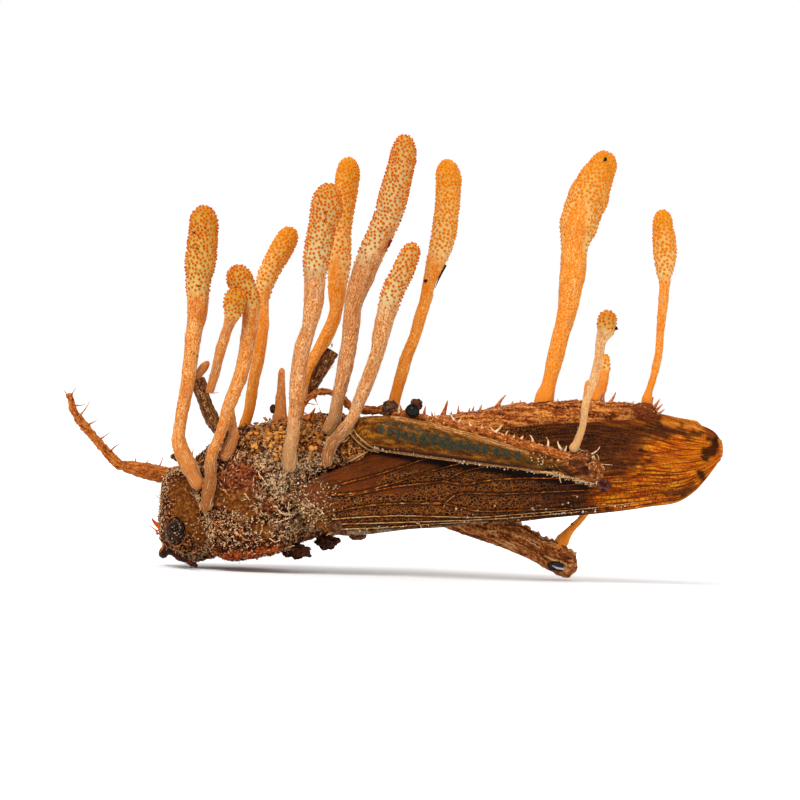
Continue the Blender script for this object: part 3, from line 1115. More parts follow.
AMBER_PATCHES = ((668, 448, 26, 11), (640, 492, 40, 12), (692, 450, 24, 18), (664, 472, 36, 15),
                 (620, 500, 34, 9), (704, 462, 16, 24), (600, 484, 26, 7), (652, 482, 30, 10))
TIP_SPOTS = ((714, 442, 6, 8), (710, 450, 7, 8), (705, 457, 5, 4), (702, 475, 5, 7), (642, 451, 5, 2),
             (641, 473, 4, 2))
TIP_SHADES = ((600, 442, 40, 20), (650, 430, 34, 8), (690, 434, 14, 4), (625, 464, 26, 5),
              (672, 492, 20, 3))
BRIGHT_EDGE = ((672, 420, 13, 7), (688, 422, 13, 7), (698, 425, 7, 6))
THIGH_SHADOW = ((372, 450), (400, 454.5), (430, 460), (470, 465.5), (510, 471.5), (550, 477.5), (585, 485))
RED_FIELD = ((390, 458, 70, 13), (350, 478, 30, 10), (440, 450, 60, 8), (372, 489, 44, 5),
             (318, 497, 18, 14))
PALE_STRIP = ((486, 525, 40, 3.5), (372, 531, 34, 4), (450, 528, 26, 3))
WING_HALF_THICKNESS = 0.09
WING_GRID = (9.0, 10.0)  # millimetres across a wing, and rows of square cells near its tip


def wing_skin():
    """Folded forewing: a close net of cells between ochre veins, clear and amber at the tip."""
    nodes = Finish("forewing", Subsurface_Weight=0.12, Subsurface_Scale=0.4 * MM,
                   Subsurface_Radius=(1.0, 0.3, 0.08))
    place = nodes.read("wing_place", "Vector")
    stretched = nodes.vectors("MULTIPLY", place, (0.7, 1.0, 1.0))
    net = nodes.remap(nodes.cells(stretched, 4.7, "DISTANCE_TO_EDGE"), 0.03, 0.14, 1.0, 0.0)
    squares = nodes.add("ShaderNodeTexBrick", {
        "Vector": nodes.read("wing_grid", "Vector"), "Color1": (0, 0, 0, 1), "Color2": (0.4, 0.4, 0.4, 1),
        "Mortar": (1, 1, 1, 1), "Scale": 1.0, "Mortar Size": 0.04, "Mortar Smooth": 0.8,
        "Brick Width": 0.5, "Row Height": 0.5}).outputs["Color"]
    grain = nodes.noise(place, 7.0, 3.0, 0.7)
    along = nodes.streaks(nodes.read("wing_streak", "Vector"), 3.5, 9.0)
    field = nodes.ramp(nodes.noise(place, 0.7, 4.0, 0.6), 0.38, 0.62, (16, 5, 2), (66, 22, 7))
    field = nodes.over(field, "net", nodes.ramp(grain, 0.35, 0.65, (104, 50, 10), (206, 130, 54)), net)
    field = nodes.over(field, "red", nodes.ramp(grain, 0.3, 0.7, (86, 32, 6), (150, 76, 26)), 0.9)
    field = nodes.mix(nodes.remap(along, 0.5, 0.95, 0.0, 0.6), field, (152, 72, 26))
    field = nodes.mix(nodes.remap(along, 0.4, 0.1, 0.0, 0.6), field, (30, 10, 3))
    amber = nodes.tones(along, (132, 48, 3), (214, 96, 4), (252, 164, 28))
    field = nodes.over(field, "amber", nodes.over(amber, "meshed", (74, 26, 4), squares))
    field = nodes.over(field, "pale", nodes.ramp(grain, 0.4, 0.6, (110, 84, 56), (220, 202, 170)))
    field = nodes.over(field, "dark", (26, 9, 3))
    field = nodes.over(field, "rim", nodes.mix(along, (196, 70, 4), (255, 178, 60)))
    height = nodes.plus(nodes.times(net, 0.6), nodes.times(grain, 0.4))
    height = nodes.plus(height, nodes.times(squares, nodes.read("amber")))
    return nodes.surface(field, nodes.spread(grain, 0.38, 0.6), height, 0.08)


def vein_skin():
    """Dry ochre veins, each point with its own shade."""
    nodes = Finish("wing veins", Subsurface_Weight=0.1, Subsurface_Scale=0.1 * MM)
    uneven = nodes.noise(nodes.place(), 1400.0, 3.0)
    value = nodes.plus(nodes.read("shade"), nodes.spread(uneven, -0.25, 0.25))
    base = nodes.tones(value, (104, 52, 14), (190, 100, 26), (236, 184, 118))
    return nodes.surface(base, nodes.spread(uneven, 0.4, 0.65), uneven, 0.03)


WING_SKIN, VEIN_SKIN = wing_skin(), vein_skin()


def wing_mesh(side, step, count):
    """One forewing as rings about its length, down its outside and back up its inside, with each
    point's drawn x and z and its share of the way down, and the middle's points and normals."""
    rows = evenly(spline([upper + lower for upper, lower in zip(WING_UPPER, WING_LOWER)]), step)
    upper, lower = rows[:, None, :3], rows[:, None, 3:]
    down = np.linspace(0, 1, count)[None]
    flat = upper + (lower - upper) * down[..., None]
    x = flat[..., 0] + 0.35 * np.sin(math.pi * down) * ramp(rows[:, :1], 27.4, 28.85)
    z = flat[..., 1]
    if side > 0:
        torn = 0.3 * ramp(rows[:, :1], 21.5, 23.0) * (1 - ramp(rows[:, :1], 26.8, 27.1))
        z = z + FAR_WING_LIFT + torn * (1 - down)**3
    depth = upper[..., 2] + (lower[..., 2] - upper[..., 2]) * down**2.2
    pleats = 0.05 * np.sin(down * 38) * ramp(x, -9, -4)
    middle = placed(x, z, side * (depth + pleats) + swing(x))
    waves = rough(middle, 3.0, 3, 70.0 + side)
    normals = unit(np.cross(np.gradient(middle, axis=0), np.gradient(middle, axis=1)))
    normals *= np.sign(normals[..., 1:2]) * side
    middle = middle + normals * (0.12 * waves)[..., None]
    thin = WING_HALF_THICKNESS * np.sin(np.clip(down, 0.004, 0.996) * math.pi)**0.25
    outside, inside = (middle + normals * (way * thin)[..., None] for way in (1, -1))
    points = np.concatenate((outside, inside[:, ::-1]), axis=1)
    flat = np.stack((x, z, down + 0 * x), axis=-1)
    return points, np.concatenate((flat, flat[:, ::-1]), axis=1), middle, normals


def wing_values(flat):
    """What the wing's skin reads, with the far wing marked as the near one is."""
    x, z, down = np.moveaxis(flat, -1, 0)
    twin = placed(x, z)
    tip = ramp(x + 1.2 * lumps(twin, 2.0, 80.0), 15.0, 21.5)
    amber = np.clip(0.3 * tip + blots(twin, AMBER_PATCHES, 0.6, 5.0) * ramp(x, 14, 18), 0, 1)
    amber *= 1 - 0.8 * blots(twin, TIP_SHADES, 0.5, 9.0)
    base = (1 - ramp(x, -9.8, -5.4)) * ramp(rough(twin, 1.0, 3, 90.0), -0.35, 0.25)
    strip = blots(twin, PALE_STRIP, 0.2, 6.0) * ramp(rough(twin, 0.8, 3, 91.0), -0.3, 0.2)
    red = blots(twin, RED_FIELD, 0.2, 7.0)
    tip_edge = 28.85 - 0.3 * down + 0.35 * np.sin(math.pi * down)
    rim = ramp(x, 17, 24) * np.maximum(ramp(down, 0.97, 1.0), ramp(x - tip_edge, -0.34, -0.16))
    bright = blots(twin, BRIGHT_EDGE, 0.15, 10.0) * ramp(rough(twin, 0.6, 2, 97.0), -0.6, 0.0)
    dark = by_lines(twin, [THIGH_SHADOW], 0.6)
    dark += 0.75 * by_lines(twin, MAIN_VEINS + LONG_VEINS, 0.3) * (1 - tip)
    dark += 0.9 * blots(twin, TIP_SPOTS, 0.45, 8.0)
    sheet, rows = WING_GRID
    fan = down - 0.4 * ramp(x, 15, 30) * (1 - down)
    grid = (x * (1 + 0.02 * lumps(twin, 1.0, 95.0)), fan * rows + 0.25 * lumps(twin, 2.0, 96.0), 0 * x)
    return {
        "wing_place": np.stack((x, z, 0 * x), axis=-1), "wing_grid": np.stack(grid, axis=-1),
        "wing_streak": np.stack((fan * sheet, 0 * x, x), axis=-1),
        "meshed": 0.25 + 0.65 * ramp(down, 0.45, 0.75) * (1 - ramp(x, 24.5, 27.5)),
        "net": (1 - 0.8 * ramp(x, 8.0, 15.0)) * (1 - red), "red": red, "amber": amber,
        "pale": np.clip(0.06 * base + 0.7 * strip, 0, 1), "rim": 0.9 * np.maximum(rim, bright),
        "dark": np.clip(dark, 0, 1)}


def add_wing(name, side, step, count):
    """A forewing on one side. Returns its outside's points and normals."""
    points, flat, middle, normals = wing_mesh(side, step, count)
    mesh = tube(points, side > 0, **wing_values(flat))
    add_piece("netted_" + name, [mesh], [WING_SKIN], [name])
    return middle + normals * WING_HALF_THICKNESS, normals


def raised_lines(lines, radius, shade, ground, wobble=0.012):
    """Thin tubes along lines of the photograph, lying on what it shows there."""
    found = []
    for line in lines:
        places, normals = ground.under(evenly(spline(line), 1.6))
        count = len(places)
        places = places + normals * (0.5 * radius) + DRAW.normal(0, wobble, places.shape)
        radii = radius * (1 - 0.55 * np.linspace(0, 1, count)) * DRAW.uniform(0.85, 1.15, count)
        shades = shade + np.repeat(DRAW.normal(0, 0.1, count), VEIN_SIDES)
        found.append(pipe(places, radii, VEIN_SIDES, shade=shades))
    return found


NEAR_WING = add_wing("forewing_near", -1, 0.15, 64)
add_wing("forewing_far", 1, 0.24, 40)
WING_GROUND = Ground(NEAR_WING)
add_piece("near_wing_veins", raised_lines(MAIN_VEINS, 0.062, 0.4, WING_GROUND)
          + raised_lines(LONG_VEINS, 0.055, 0.7, WING_GROUND)
          + raised_lines(UPPER_VEINS, 0.04, 0.1, WING_GROUND), [VEIN_SKIN])


# ==== Hind thighs ====
OVALS = (  # the middle of each grey-green oval on the near thigh, in the photograph's pixels
    (381, 430), (390, 432), (398, 434), (405.5, 435.5), (413.5, 438), (423.5, 439), (433, 441),
    (442.5, 442.5), (451, 445), (459.5, 445.5), (468, 446), (477, 448), (485, 449), (496, 451),
    (506, 453), (517, 455))
SMALL_OVALS = ((387, 423), (394.6, 424), (402.6, 425.4), (410.7, 427), (418.8, 430), (427, 432),
               (436, 433.5), (447, 436))
OVAL_SIZES = (  # ovals, half their width and height, and how strongly they show
    (OVALS[:5], 3.1, 5.0, 1.0), (OVALS[5:11], 4.1, 5.8, 1.0), (OVALS[11:], 3.7, 4.6, 1.0),
    (SMALL_OVALS, 3.4, 3.6, 0.7),
)
THIGH_RIDGES = (
    ((392, 417), (420, 421.5), (455, 430), (495, 441), (530, 451), (558, 457)),
    ((396, 420), (425, 424.5), (455, 432.3), (495, 443.8), (528, 453.2)),
    ((372, 450), (400, 453), (440, 458.5), (480, 464), (520, 469), (552, 473.5), (570, 477)),
)
KNEE_HOLLOWS = ((582, 472, 9, 4.5), (577, 463, 9, 5), (560, 470, 12, 4), (590, 462, 5, 4))
KNEE_RIBS = (  # curled edges in the near knee: a shade, then the photograph's pixels
    (0.3, (560, 459), (569.7, 465.5), (573.3, 471.5), (582, 475.5)),
    (0.3, (561.5, 458), (570.5, 464), (575, 470), (584, 474)),
    (0.3, (556, 449.5), (566, 451.5), (574, 452), (585, 452), (593, 455), (599, 459.5)),
    (0.5, (562, 456), (571, 458.5), (578.5, 453)),
    (0.35, (578, 450.5), (588, 453), (594, 456.5), (598, 461)),
    (0.7, (590, 469), (588.5, 465), (592, 462.5), (596, 465), (594, 470)),
    (0.5, (599, 462), (601.5, 468), (603, 474), (599, 480)),
    (0.9, (540, 471), (551.7, 472.7), (562.5, 476), (575, 479), (588, 482), (597, 483.5)),
    (0.3, (548, 462), (556, 466), (562, 471), (570, 476)),
)
FAR_EDGES = (
    (0.1, (504, 524.5), (523, 527.5), (535, 535), (541, 540), (554, 542), (566, 548)),
    (0.0, (476, 526), (500, 533), (520, 543), (540, 554)),
    (0.6, (488, 529), (505, 535), (522, 544)), (0.7, (512, 533), (528, 541), (540, 548)),
    (0.8, (545, 556), (553, 559.5), (563, 562), (571, 567)),
)


def thigh_skin():
    """Olive-gold cuticle with a row of grey-green ovals between pale ridges."""
    nodes = Finish("thigh")
    _, grain, value = nodes.dry_skin(3.2, 3.0, 0.6, 8.0, 0.4)
    gold = nodes.tones(value, (58, 24, 2), (114, 62, 6), (188, 116, 28))
    base = nodes.over(gold, "olive", nodes.mix(0.6, gold, (52, 40, 14)))
    base = nodes.over(base, "oval", nodes.ramp(grain, 0.35, 0.65, (13, 17, 14), (72, 76, 56)))
    base = nodes.over(base, "rust", nodes.tones(value, (56, 18, 6), (148, 72, 30), (236, 152, 88)))
    base = nodes.over(base, "dark", nodes.mix(grain, (16, 5, 2), (78, 34, 16)))
    base = nodes.over(base, "pale", nodes.ramp(grain, 0.35, 0.65, (150, 84, 30), (232, 184, 116)))
    return nodes.surface(base, nodes.spread(grain, 0.3, 0.55), value, 0.06)


THIGH_SKIN = thigh_skin()


def add_thigh(name, sections, replaced, seed, skin, ragged=0.0):
    """A hind thigh, marked as the near one is. Returns its points and normals."""
    outline = around(KEELED, 84)
    points, normals, x, up = loft(sections, 0.13, lambda at: outline)
    share = (x - sections[0][0]) / (sections[-1][0] - sections[0][0])
    near_x, top, bottom, _, _ = np.transpose(NEAR_FEMUR)
    twin_x = near_x[0] + share * (near_x[-1] - near_x[0])
    middle, reach = (np.interp(twin_x, near_x, edges / 2) for edges in (top + bottom, top - bottom))
    twin = placed(twin_x, middle + up * reach)  # the same place on the near thigh, seen flat
    oval = np.max([depth * blots(twin, [(u, v, across, tall) for u, v in centres], 0.08, seed)
                   for centres, across, tall, depth in OVAL_SIZES], axis=0)
    ridge = by_lines(twin, THIGH_RIDGES, 0.16)
    low_edge = by_lines(twin, THIGH_RIDGES[2:], 0.5)
    knee = ramp(share, 0.82, 0.95)
    hollows = blots(twin, KNEE_HOLLOWS, 0.5, seed + 3)
    grit = rough(points, 0.5, 3, seed)
    lift = 0.05 * oval + 0.06 * ridge + 0.035 * grit * (1 - oval)
    lift += (0.2 + 0.3 * ragged) * knee * rough(points, 0.6, 3, seed + 1) - 0.25 * hollows
    lift += ragged * np.maximum(0, lumps(points, 0.35, seed + 2)) * (0.3 + ramp(up, 0.5, 0.9))
    moved = above_floor(points + normals * lift[..., None])
    dark = 0.75 * low_edge * (1 - ridge) + 0.8 * ramp(-up, 0.6, 0.95) + 0.8 * hollows
    place = np.stack((up * 1.4, points[..., 1] - points[..., 1].mean(), x), axis=-1)
    mesh = tube(
        moved, True, skin_place=place * (0.55 if ragged else 1.0), oval=oval * (1 - knee),
        olive=(1 - ramp(np.abs(up), 0.15, 0.75)) * ramp(share, 0.05, 0.2) * (1 - knee),
        pale=np.clip(0.7 * ridge, 0, 1), rust=0.65 * ramp(share, 0.8, 0.9),
        dark=np.clip(dark + 0.4 * knee * ramp(grit, -0.1, 0.5), 0, 1))
    add_piece(name, [mesh], [skin], [replaced])
    return moved, normals


def add_ribs(name, lines, radius, ground, wobble):
    """Curled edges along lines of the photograph, each with its own shade."""
    meshes = [mesh for shade, *line in lines
              for mesh in raised_lines([line], radius, shade, ground, wobble)]
    add_piece(name, meshes, [VEIN_SKIN])


NEAR_THIGH = add_thigh("near_thigh", NEAR_FEMUR, "hind_femur_near", 100.0, THIGH_SKIN)
THIGH_GROUND = Ground(NEAR_THIGH)
add_ribs("knee_ribs", KNEE_RIBS, 0.06, THIGH_GROUND, 0.04)


# ==== Thin legs ====
LEG_STEP = 0.14  # from one ring of a leg to the next
LEG_SIDES = 26
THINNEST = 0.08


def leg_skin(name, low, middle, high, gloss, height):
    """Dry leg cuticle with lengthwise streaks and dark pits."""
    nodes = Finish(name, Coat_Weight=gloss, Coat_Roughness=0.3)
    place, grain, value = nodes.dry_skin(5.0, 3.5, 0.55, 7.0, 0.45)
    base = nodes.tones(value, low, middle, high)
    base = nodes.mix(nodes.times(nodes.dots(place, 2.6, 0.16), 0.7), base, low)
    return nodes.surface(base, nodes.spread(grain, 0.35, 0.65), value, height)


RED_LEG = leg_skin("red leg", (104, 40, 10), (182, 90, 28), (236, 160, 84), 0.05, 0.12)
STUB_SKIN = leg_skin("broken leg", (48, 22, 6), (128, 72, 30), (222, 168, 106), 0.0, 0.16)
FAR_THIGH_SKIN = leg_skin("far thigh", (64, 22, 8), (180, 92, 36), (250, 190, 120), 0.02, 0.14)
FORELEG_SKIN = leg_skin("foreleg", (104, 38, 6), (200, 102, 30), (238, 160, 78), 0.03, 0.1)
SPINE_SKIN = leg_skin("spines", (206, 120, 60), (242, 204, 152), (255, 244, 222), 0.1, 0.02)
RED_SPINE_SKIN = leg_skin("red spines", (120, 44, 16), (206, 104, 44), (240, 172, 96), 0.1, 0.02)
BLACK_SKIN = leg_skin("black bits", (14, 6, 2), (34, 15, 6), (104, 40, 12), 0.0, 0.06)
PALP_SKIN = leg_skin("palps", (190, 60, 6), (232, 96, 14), (252, 162, 54), 0.1, 0.03)


def rounded(end, inner, reach=1.0):
    """Rows that round a leg off beyond its end."""
    shares = np.array(ROUNDING)[:, None]
    rows = end + (end - inner) / LEG_STEP * end[3] * shares * 0.5 * reach
    rows[:, 3] = end[3] * np.sqrt(1 - shares[:, 0]**2)
    return rows


def leg_tube(path, seed, bumps, bumps_seed, jag):
    """A bumpy tube through (x, z, depth, radius) points, whose far end may be jagged."""
    rows = evenly(spline(path), LEG_STEP)
    rows[:, 3] = np.maximum(rows[:, 3], THINNEST)
    stop = rounded(rows[-1], rows[-2], 0.1 if jag else 1.0)
    rows = np.vstack((rounded(rows[0], rows[1])[::-1], rows, stop))
    centres, radius = placed(*rows.T[:3]), rows[:, 3, None]
    points, outward, turn = rings_along(centres, rows[:, 3], LEG_SIDES)
    lift = bumps * (0.6 * rough(points, 0.7, 3, bumps_seed) + 0.5 * lumps(points, 0.25, seed + 5))
    points = points + outward * (lift * np.minimum(1, radius / 0.2))[..., None]
    if jag:
        teeth = jag * (np.sin(turn * 3 + 1) + 0.6 * np.sin(turn * 7))
        along = (centres[-1] - centres[-3]) / (2 * LEG_STEP)
        points[-len(ROUNDING) - 2:] += along * teeth[None, :, None] * 0.5
    gone = np.arange(len(rows))[:, None] * LEG_STEP
    place = np.broadcast_arrays(radius * np.cos(turn) + seed, radius * np.sin(turn), gone)
    return tube(points, skin_place=np.stack(place, axis=-1))


def add_leg(name, pieces, finishes, seed, bumps, spines=(), spine_root=0.0, jag=0.0, hook=0.08):
    """A leg of some tubes, each named after the node that it replaces, with spines from where the
    photograph shows their feet to where it shows their tips."""
    tubes = [leg_tube(path, seed, bumps, seed + number, jag) for number, (_, path) in enumerate(pieces)]
    meshes = [joined(*tubes)[:3]]
    if spines:
        skin = meshes[0][0]
        feet, tips = feet_and_tips(spines)
        away = ((on_photo(skin) - seen(feet)[:, None])**2).sum(axis=-1)
        starts = skin[away.argmin(axis=1)]
        aside, share = DRAW.uniform((-0.25, 0.85), (0.25, 1.2), (len(spines), 2)).T
        tips = pictured(tips, starts[:, 1] - CENTRE[1] + aside)
        meshes.append(thorns(starts, tips, spine_root * share, hook))
    add_piece(name, meshes, finishes, [node for node, _ in pieces])


TIBIA = ((16.0, -5.45, -4.5, 0.42), (14.8, -5.05, -5.0, 0.42), (13.65, -4.75, -5.25, 0.42),
         (10.0, -3.68, -5.5, 0.4), (6.45, -2.68, -5.6, 0.38), (2.45, -1.75, -5.6, 0.33),
         (-1.1, -1.0, -5.2, 0.32))
TIBIA_SPINES = (
    (455, 421, 450, 414.5), (458.5, 423, 461.5, 418.5), (494.4, 431, 489.7, 425), (496, 432, 502.8, 424),
    (505.6, 435.5, 508.2, 430.5), (512.3, 437.5, 514.5, 434.5), (533.3, 442, 529.7, 435),
    (548.5, 446, 546, 437),
    (561.6, 449, 558, 441), (565, 450, 567, 445.5), (437.5, 419, 434.5, 412), (400, 413, 399.5, 404.5),
    (538.5, 457, 539.5, 461), (471, 426, 470, 421.5), (482, 429, 483, 424.5), (521, 440, 523, 435.5),
    (593, 455, 600, 446.5), (603, 470.5, 612.5, 465), (564, 477, 561, 483), (553, 474, 551.5, 478))
TARSUS = ((-1.65, -0.95, -5.0, 0.34), (-3.3, -0.85, -4.1, 0.36), (-4.6, -0.45, -3.2, 0.34),
          (-5.3, 0.25, -2.7, 0.28), (-6.2, 0.65, -2.4, 0.28), (-7.2, 0.7, -2.2, 0.28),
          (-8.0, 0.35, -2.1, 0.25), (-8.6, -0.15, -2.0, 0.16))
TARSUS_SPINES = ((307.6, 417, 315.7, 406), (323, 420, 318, 405), (313, 415, 321, 405))
FORELEG = (
    ("foreleg_femur", ((-19.2, -6.4, 5.0, 0.6), (-20.9, -6.75, 4.8, 0.74), (-23.0, -6.35, 4.4, 0.74),
                       (-24.75, -5.98, 4.1, 0.52))),
    ("foreleg_tibia", ((-24.9, -5.9, 4.05, 0.42), (-25.55, -5.6, 4.0, 0.48), (-27.4, -3.55, 3.7, 0.4),
                       (-29.02, -1.6, 3.4, 0.42))),
    ("foreleg_tarsus", ((-29.05, -1.5, 3.35, 0.3), (-29.3, -1.05, 3.3, 0.34), (-29.55, -0.3, 3.2, 0.3),
                        (-29.8, 0.5, 3.1, 0.24))))
FORELEG_SPINES = ((82, 413, 90.7, 398.7), (68, 397, 63.5, 390), (72, 396, 76, 388), (95, 432, 88, 431),
                  (103, 436, 110, 432), (159, 466, 163.5, 452), (136, 461, 136, 456), (112, 448, 120, 444),
                  (77, 405, 86, 404), (90, 424, 97, 420), (120, 462, 116, 457), (146, 464, 150, 458))
FORELEG_STUB = ((-15.9, -2.9, -2.2, 0.66), (-16.8, -1.9, -2.6, 0.66), (-17.6, -0.1, -3.0, 0.62),
                (-18.25, 1.85, -3.3, 0.68))
MIDLEG_STUB = ((-9.5, -1.0, 1.4, 0.6), (-8.7, 0.2, 1.5, 0.6), (-7.3, 2.4, 1.7, 0.62),
               (-6.1, 4.4, 1.9, 0.66))
FEELER_SPINES = ((182, 562, 184, 558), (188, 564, 191, 560.5), (193, 566, 197, 563), (176, 559, 175, 555))
NEAR_ANTENNA = ((-20.85, -13.6, -2.1, 0.22), (-19.9, -14.2, -3.4, 0.2), (-18.35, -14.9, -5.1, 0.15))
FAR_ANTENNA = ((-21.0, -13.3, 0.2, 0.36), (-21.2, -13.6, 0.8, 0.45), (-21.35, -13.85, 1.5, 0.34))

FAR_THIGH = add_thigh("far_thigh", FAR_FEMUR, "hind_femur_far", 120.0, FAR_THIGH_SKIN, 0.35)
FAR_THIGH_GROUND = Ground(FAR_THIGH)
add_ribs("far_thigh_edges", FAR_EDGES, 0.11, FAR_THIGH_GROUND, 0.05)
add_leg("hind_shin", [("hind_tibia_near", TIBIA)], [RED_LEG, SPINE_SKIN], 140.0, 0.34,
        TIBIA_SPINES, 0.15, hook=0.2)
add_leg("hind_foot", [("hind_tarsus_near", TARSUS)], [RED_LEG, RED_SPINE_SKIN], 150.0, 0.4,
        TARSUS_SPINES, 0.08)
add_leg("foreleg", FORELEG, [FORELEG_SKIN, RED_SPINE_SKIN], 160.0, 0.22,
        FORELEG_SPINES, 0.09)
add_leg("foreleg_broken", [("foreleg_stub", FORELEG_STUB)], [STUB_SKIN, RED_SPINE_SKIN],
        170.0, 0.18, [(206, 392.5, 219, 392.5)], 0.08, jag=0.3)
add_leg("midleg_broken", [("midleg_stub", MIDLEG_STUB)], [STUB_SKIN, RED_SPINE_SKIN],
        180.0, 0.18, [(324, 371, 334, 366)], 0.08, jag=0.3)
add_leg("near_feeler", [("antenna_near", NEAR_ANTENNA)], [BLACK_SKIN, RED_SPINE_SKIN],
        190.0, 0.3, FEELER_SPINES, 0.05)
add_leg("far_feeler", [("antenna_far", FAR_ANTENNA)], [BLACK_SKIN], 195.0, 0.2)


def add_abdomen_thorns():
    """A row of thorns along the abdomen's upper side, the longer the stouter."""
    feet, tips = feet_and_tips(ABDOMEN_THORNS)
    x, z = seen(feet).T
    depth = swing(x) + DRAW.uniform(-0.5, 0.5, len(feet))
    roots = 0.13 + 0.13 * (feet - tips)[:, 1] / 12
    mesh = thorns(placed(x, z - 0.15, depth), pictured(tips, depth), roots)
    add_piece("abdomen_thorns", [mesh], [RED_SPINE_SKIN])


add_abdomen_thorns()


def add_leg_crumbs(name, path, number, size, skin):
    """Crumbs stuck on a leg drawn through (x, z, depth, radius) points, mostly on its upper side."""
    rows = evenly(spline(path), count=300)
    rows = rows[DRAW.integers(0, len(rows), number)]
    turn = DRAW.normal(0, 1.6, number)
    out = np.stack((0 * turn, -np.sin(turn), np.cos(turn)), axis=-1)
    places = placed(*rows.T[:3]) + out * rows[:, 3:] * 1.02
    points, faces, each = pebbles(places, size * DRAW.uniform(0.6, 1.5, number), 0.5)
    shades = np.repeat(DRAW.uniform(0, 1, number), each)
    add_piece(name, [(points, faces, {"shade": shades})], [skin])


FORELEG_PATH = sum((path for _, path in FORELEG), ())
add_leg_crumbs("shin_crumbs", TIBIA[2:], 420, 0.085, FRINGE_SKIN)
add_leg_crumbs("foreleg_crumbs", FORELEG_PATH, 70, 0.06, FRINGE_SKIN)
add_leg_crumbs("foreleg_stub_crumbs", FORELEG_STUB, 200, 0.07, THREAD_SKIN)
add_leg_crumbs("midleg_stub_crumbs", MIDLEG_STUB, 180, 0.07, THREAD_SKIN)
add_leg_crumbs("foot_crumbs", TARSUS, 150, 0.075, FRINGE_SKIN)


# ==== Eyes, soil and small pieces ====
def ball(middle, radii, rows=40, columns=56, bumps=0.0, seed=0.0, lump=0.5):
    """The points and normals of a closed ball of rings about Z, with bumps on it."""
    polar = np.linspace(0.03, math.pi - 0.03, rows)[:, None]
    turn = (np.arange(columns) * 2 * math.pi / columns)[None]
    way = (np.sin(polar) * np.cos(turn), np.sin(polar) * np.sin(turn), -np.cos(polar) + 0 * turn)
    way = np.stack(way, axis=-1)
    local = way * np.asarray(radii)
    lift = 1 + bumps * rough(local + seed, lump, 3, seed)
    return middle + local * lift[..., None], unit(way / np.asarray(radii))


def eye_skin():
    """Dull black facets with pale flecks where the eye has dried."""
    nodes = Finish("eye", Coat_Weight=0.03, Coat_Roughness=0.2)
    place = nodes.place()
    flecks = nodes.noise(place, 7000.0, 2.0, 0.6)
    base = nodes.ramp(nodes.noise(place, 1500.0), 0.45, 0.7, (20, 8, 3), (70, 32, 12))
    base = nodes.mix(nodes.remap(flecks, 0.6, 0.68), base, (206, 172, 136))
    return nodes.surface(base, nodes.spread(flecks, 0.2, 0.5), nodes.cells(place, 6500.0), 0.05)


def soil_skin(name, low, high, gloss):
    """Grainy soil, bark or scale, with a glossy coat where it is wet."""
    nodes = Finish(name, Coat_Weight=gloss, Coat_Roughness=0.12)
    grain = nodes.noise(nodes.place(), 2200.0, 5.0, 0.7)
    base = nodes.ramp(grain, 0.42, 0.66, low, high)
    return nodes.surface(base, nodes.spread(grain, 0.25, 0.8), grain, 0.1)


EYE_SKIN = eye_skin()
TAR_SKIN = soil_skin("black seed", (3, 3, 3), (16, 10, 9), 0.3)
WET_SKIN = soil_skin("wet pit", (16, 5, 6), (56, 28, 26), 0.5)
SOIL_SKIN = soil_skin("brown soil", (52, 25, 12), (148, 92, 54), 0.1)
BARK_SKIN = soil_skin("bark", (16, 8, 5), (112, 58, 34), 0.02)
RED_SKIN = soil_skin("red dirt", (84, 14, 6), (196, 62, 28), 0.02)
SCALE_SKIN = soil_skin("dark red scale", (50, 18, 14), (146, 84, 66), 0.02)
CRUMB_SKIN = thread_skin("pale crumbs", (176, 128, 78), (252, 236, 208))
IVORY_SKIN = thread_skin("ivory crumbs", (150, 92, 48), (248, 226, 188))
OCHRE_SKIN = thread_skin("ochre plates", (92, 36, 8), (246, 168, 78))
SLIVER_SKIN = thread_skin("grey sliver", (120, 116, 120), (222, 218, 224))


def add_eye(name, node, side):
    """A dried eye inside a thin lumpy rim."""
    middle = eye_middle(side)
    points, _ = ball(middle, EYE_RADII, bumps=0.05, seed=200.0 + side, lump=0.3)
    turn = np.linspace(0, 2 * math.pi, 60, endpoint=False)
    rim = middle + np.stack((np.cos(turn) * (EYE_RADII[0] + 0.06), 0 * turn + side * 0.34,
                             np.sin(turn) * (EYE_RADII[2] + 0.06)), axis=-1)
    rim += 0.03 * lumps(rim, 0.4, 5.0)[:, None]
    closed = np.vstack((rim, rim[:2]))
    ring = pipe(closed, 0.042 * (1 + 0.8 * lumps(closed, 0.5, 9.0)), 8, shade=0.35)
    add_piece(name, [tube(points), ring], [EYE_SKIN, VEIN_SKIN], [node])


add_eye("dried_eye_near", "eye_near", -1)
add_eye("dried_eye_far", "eye_far", 1)


def add_balls(rows, columns, lump, balls):
    """Lumpy balls and scales, some of which replace a node."""
    for name, nodes, middle, radii, seed, bumps, skin, slot in balls:
        points, _ = ball(middle, radii, rows, columns, bumps, seed, lump)
        add_piece(name, [tube(points)], [skin], nodes)


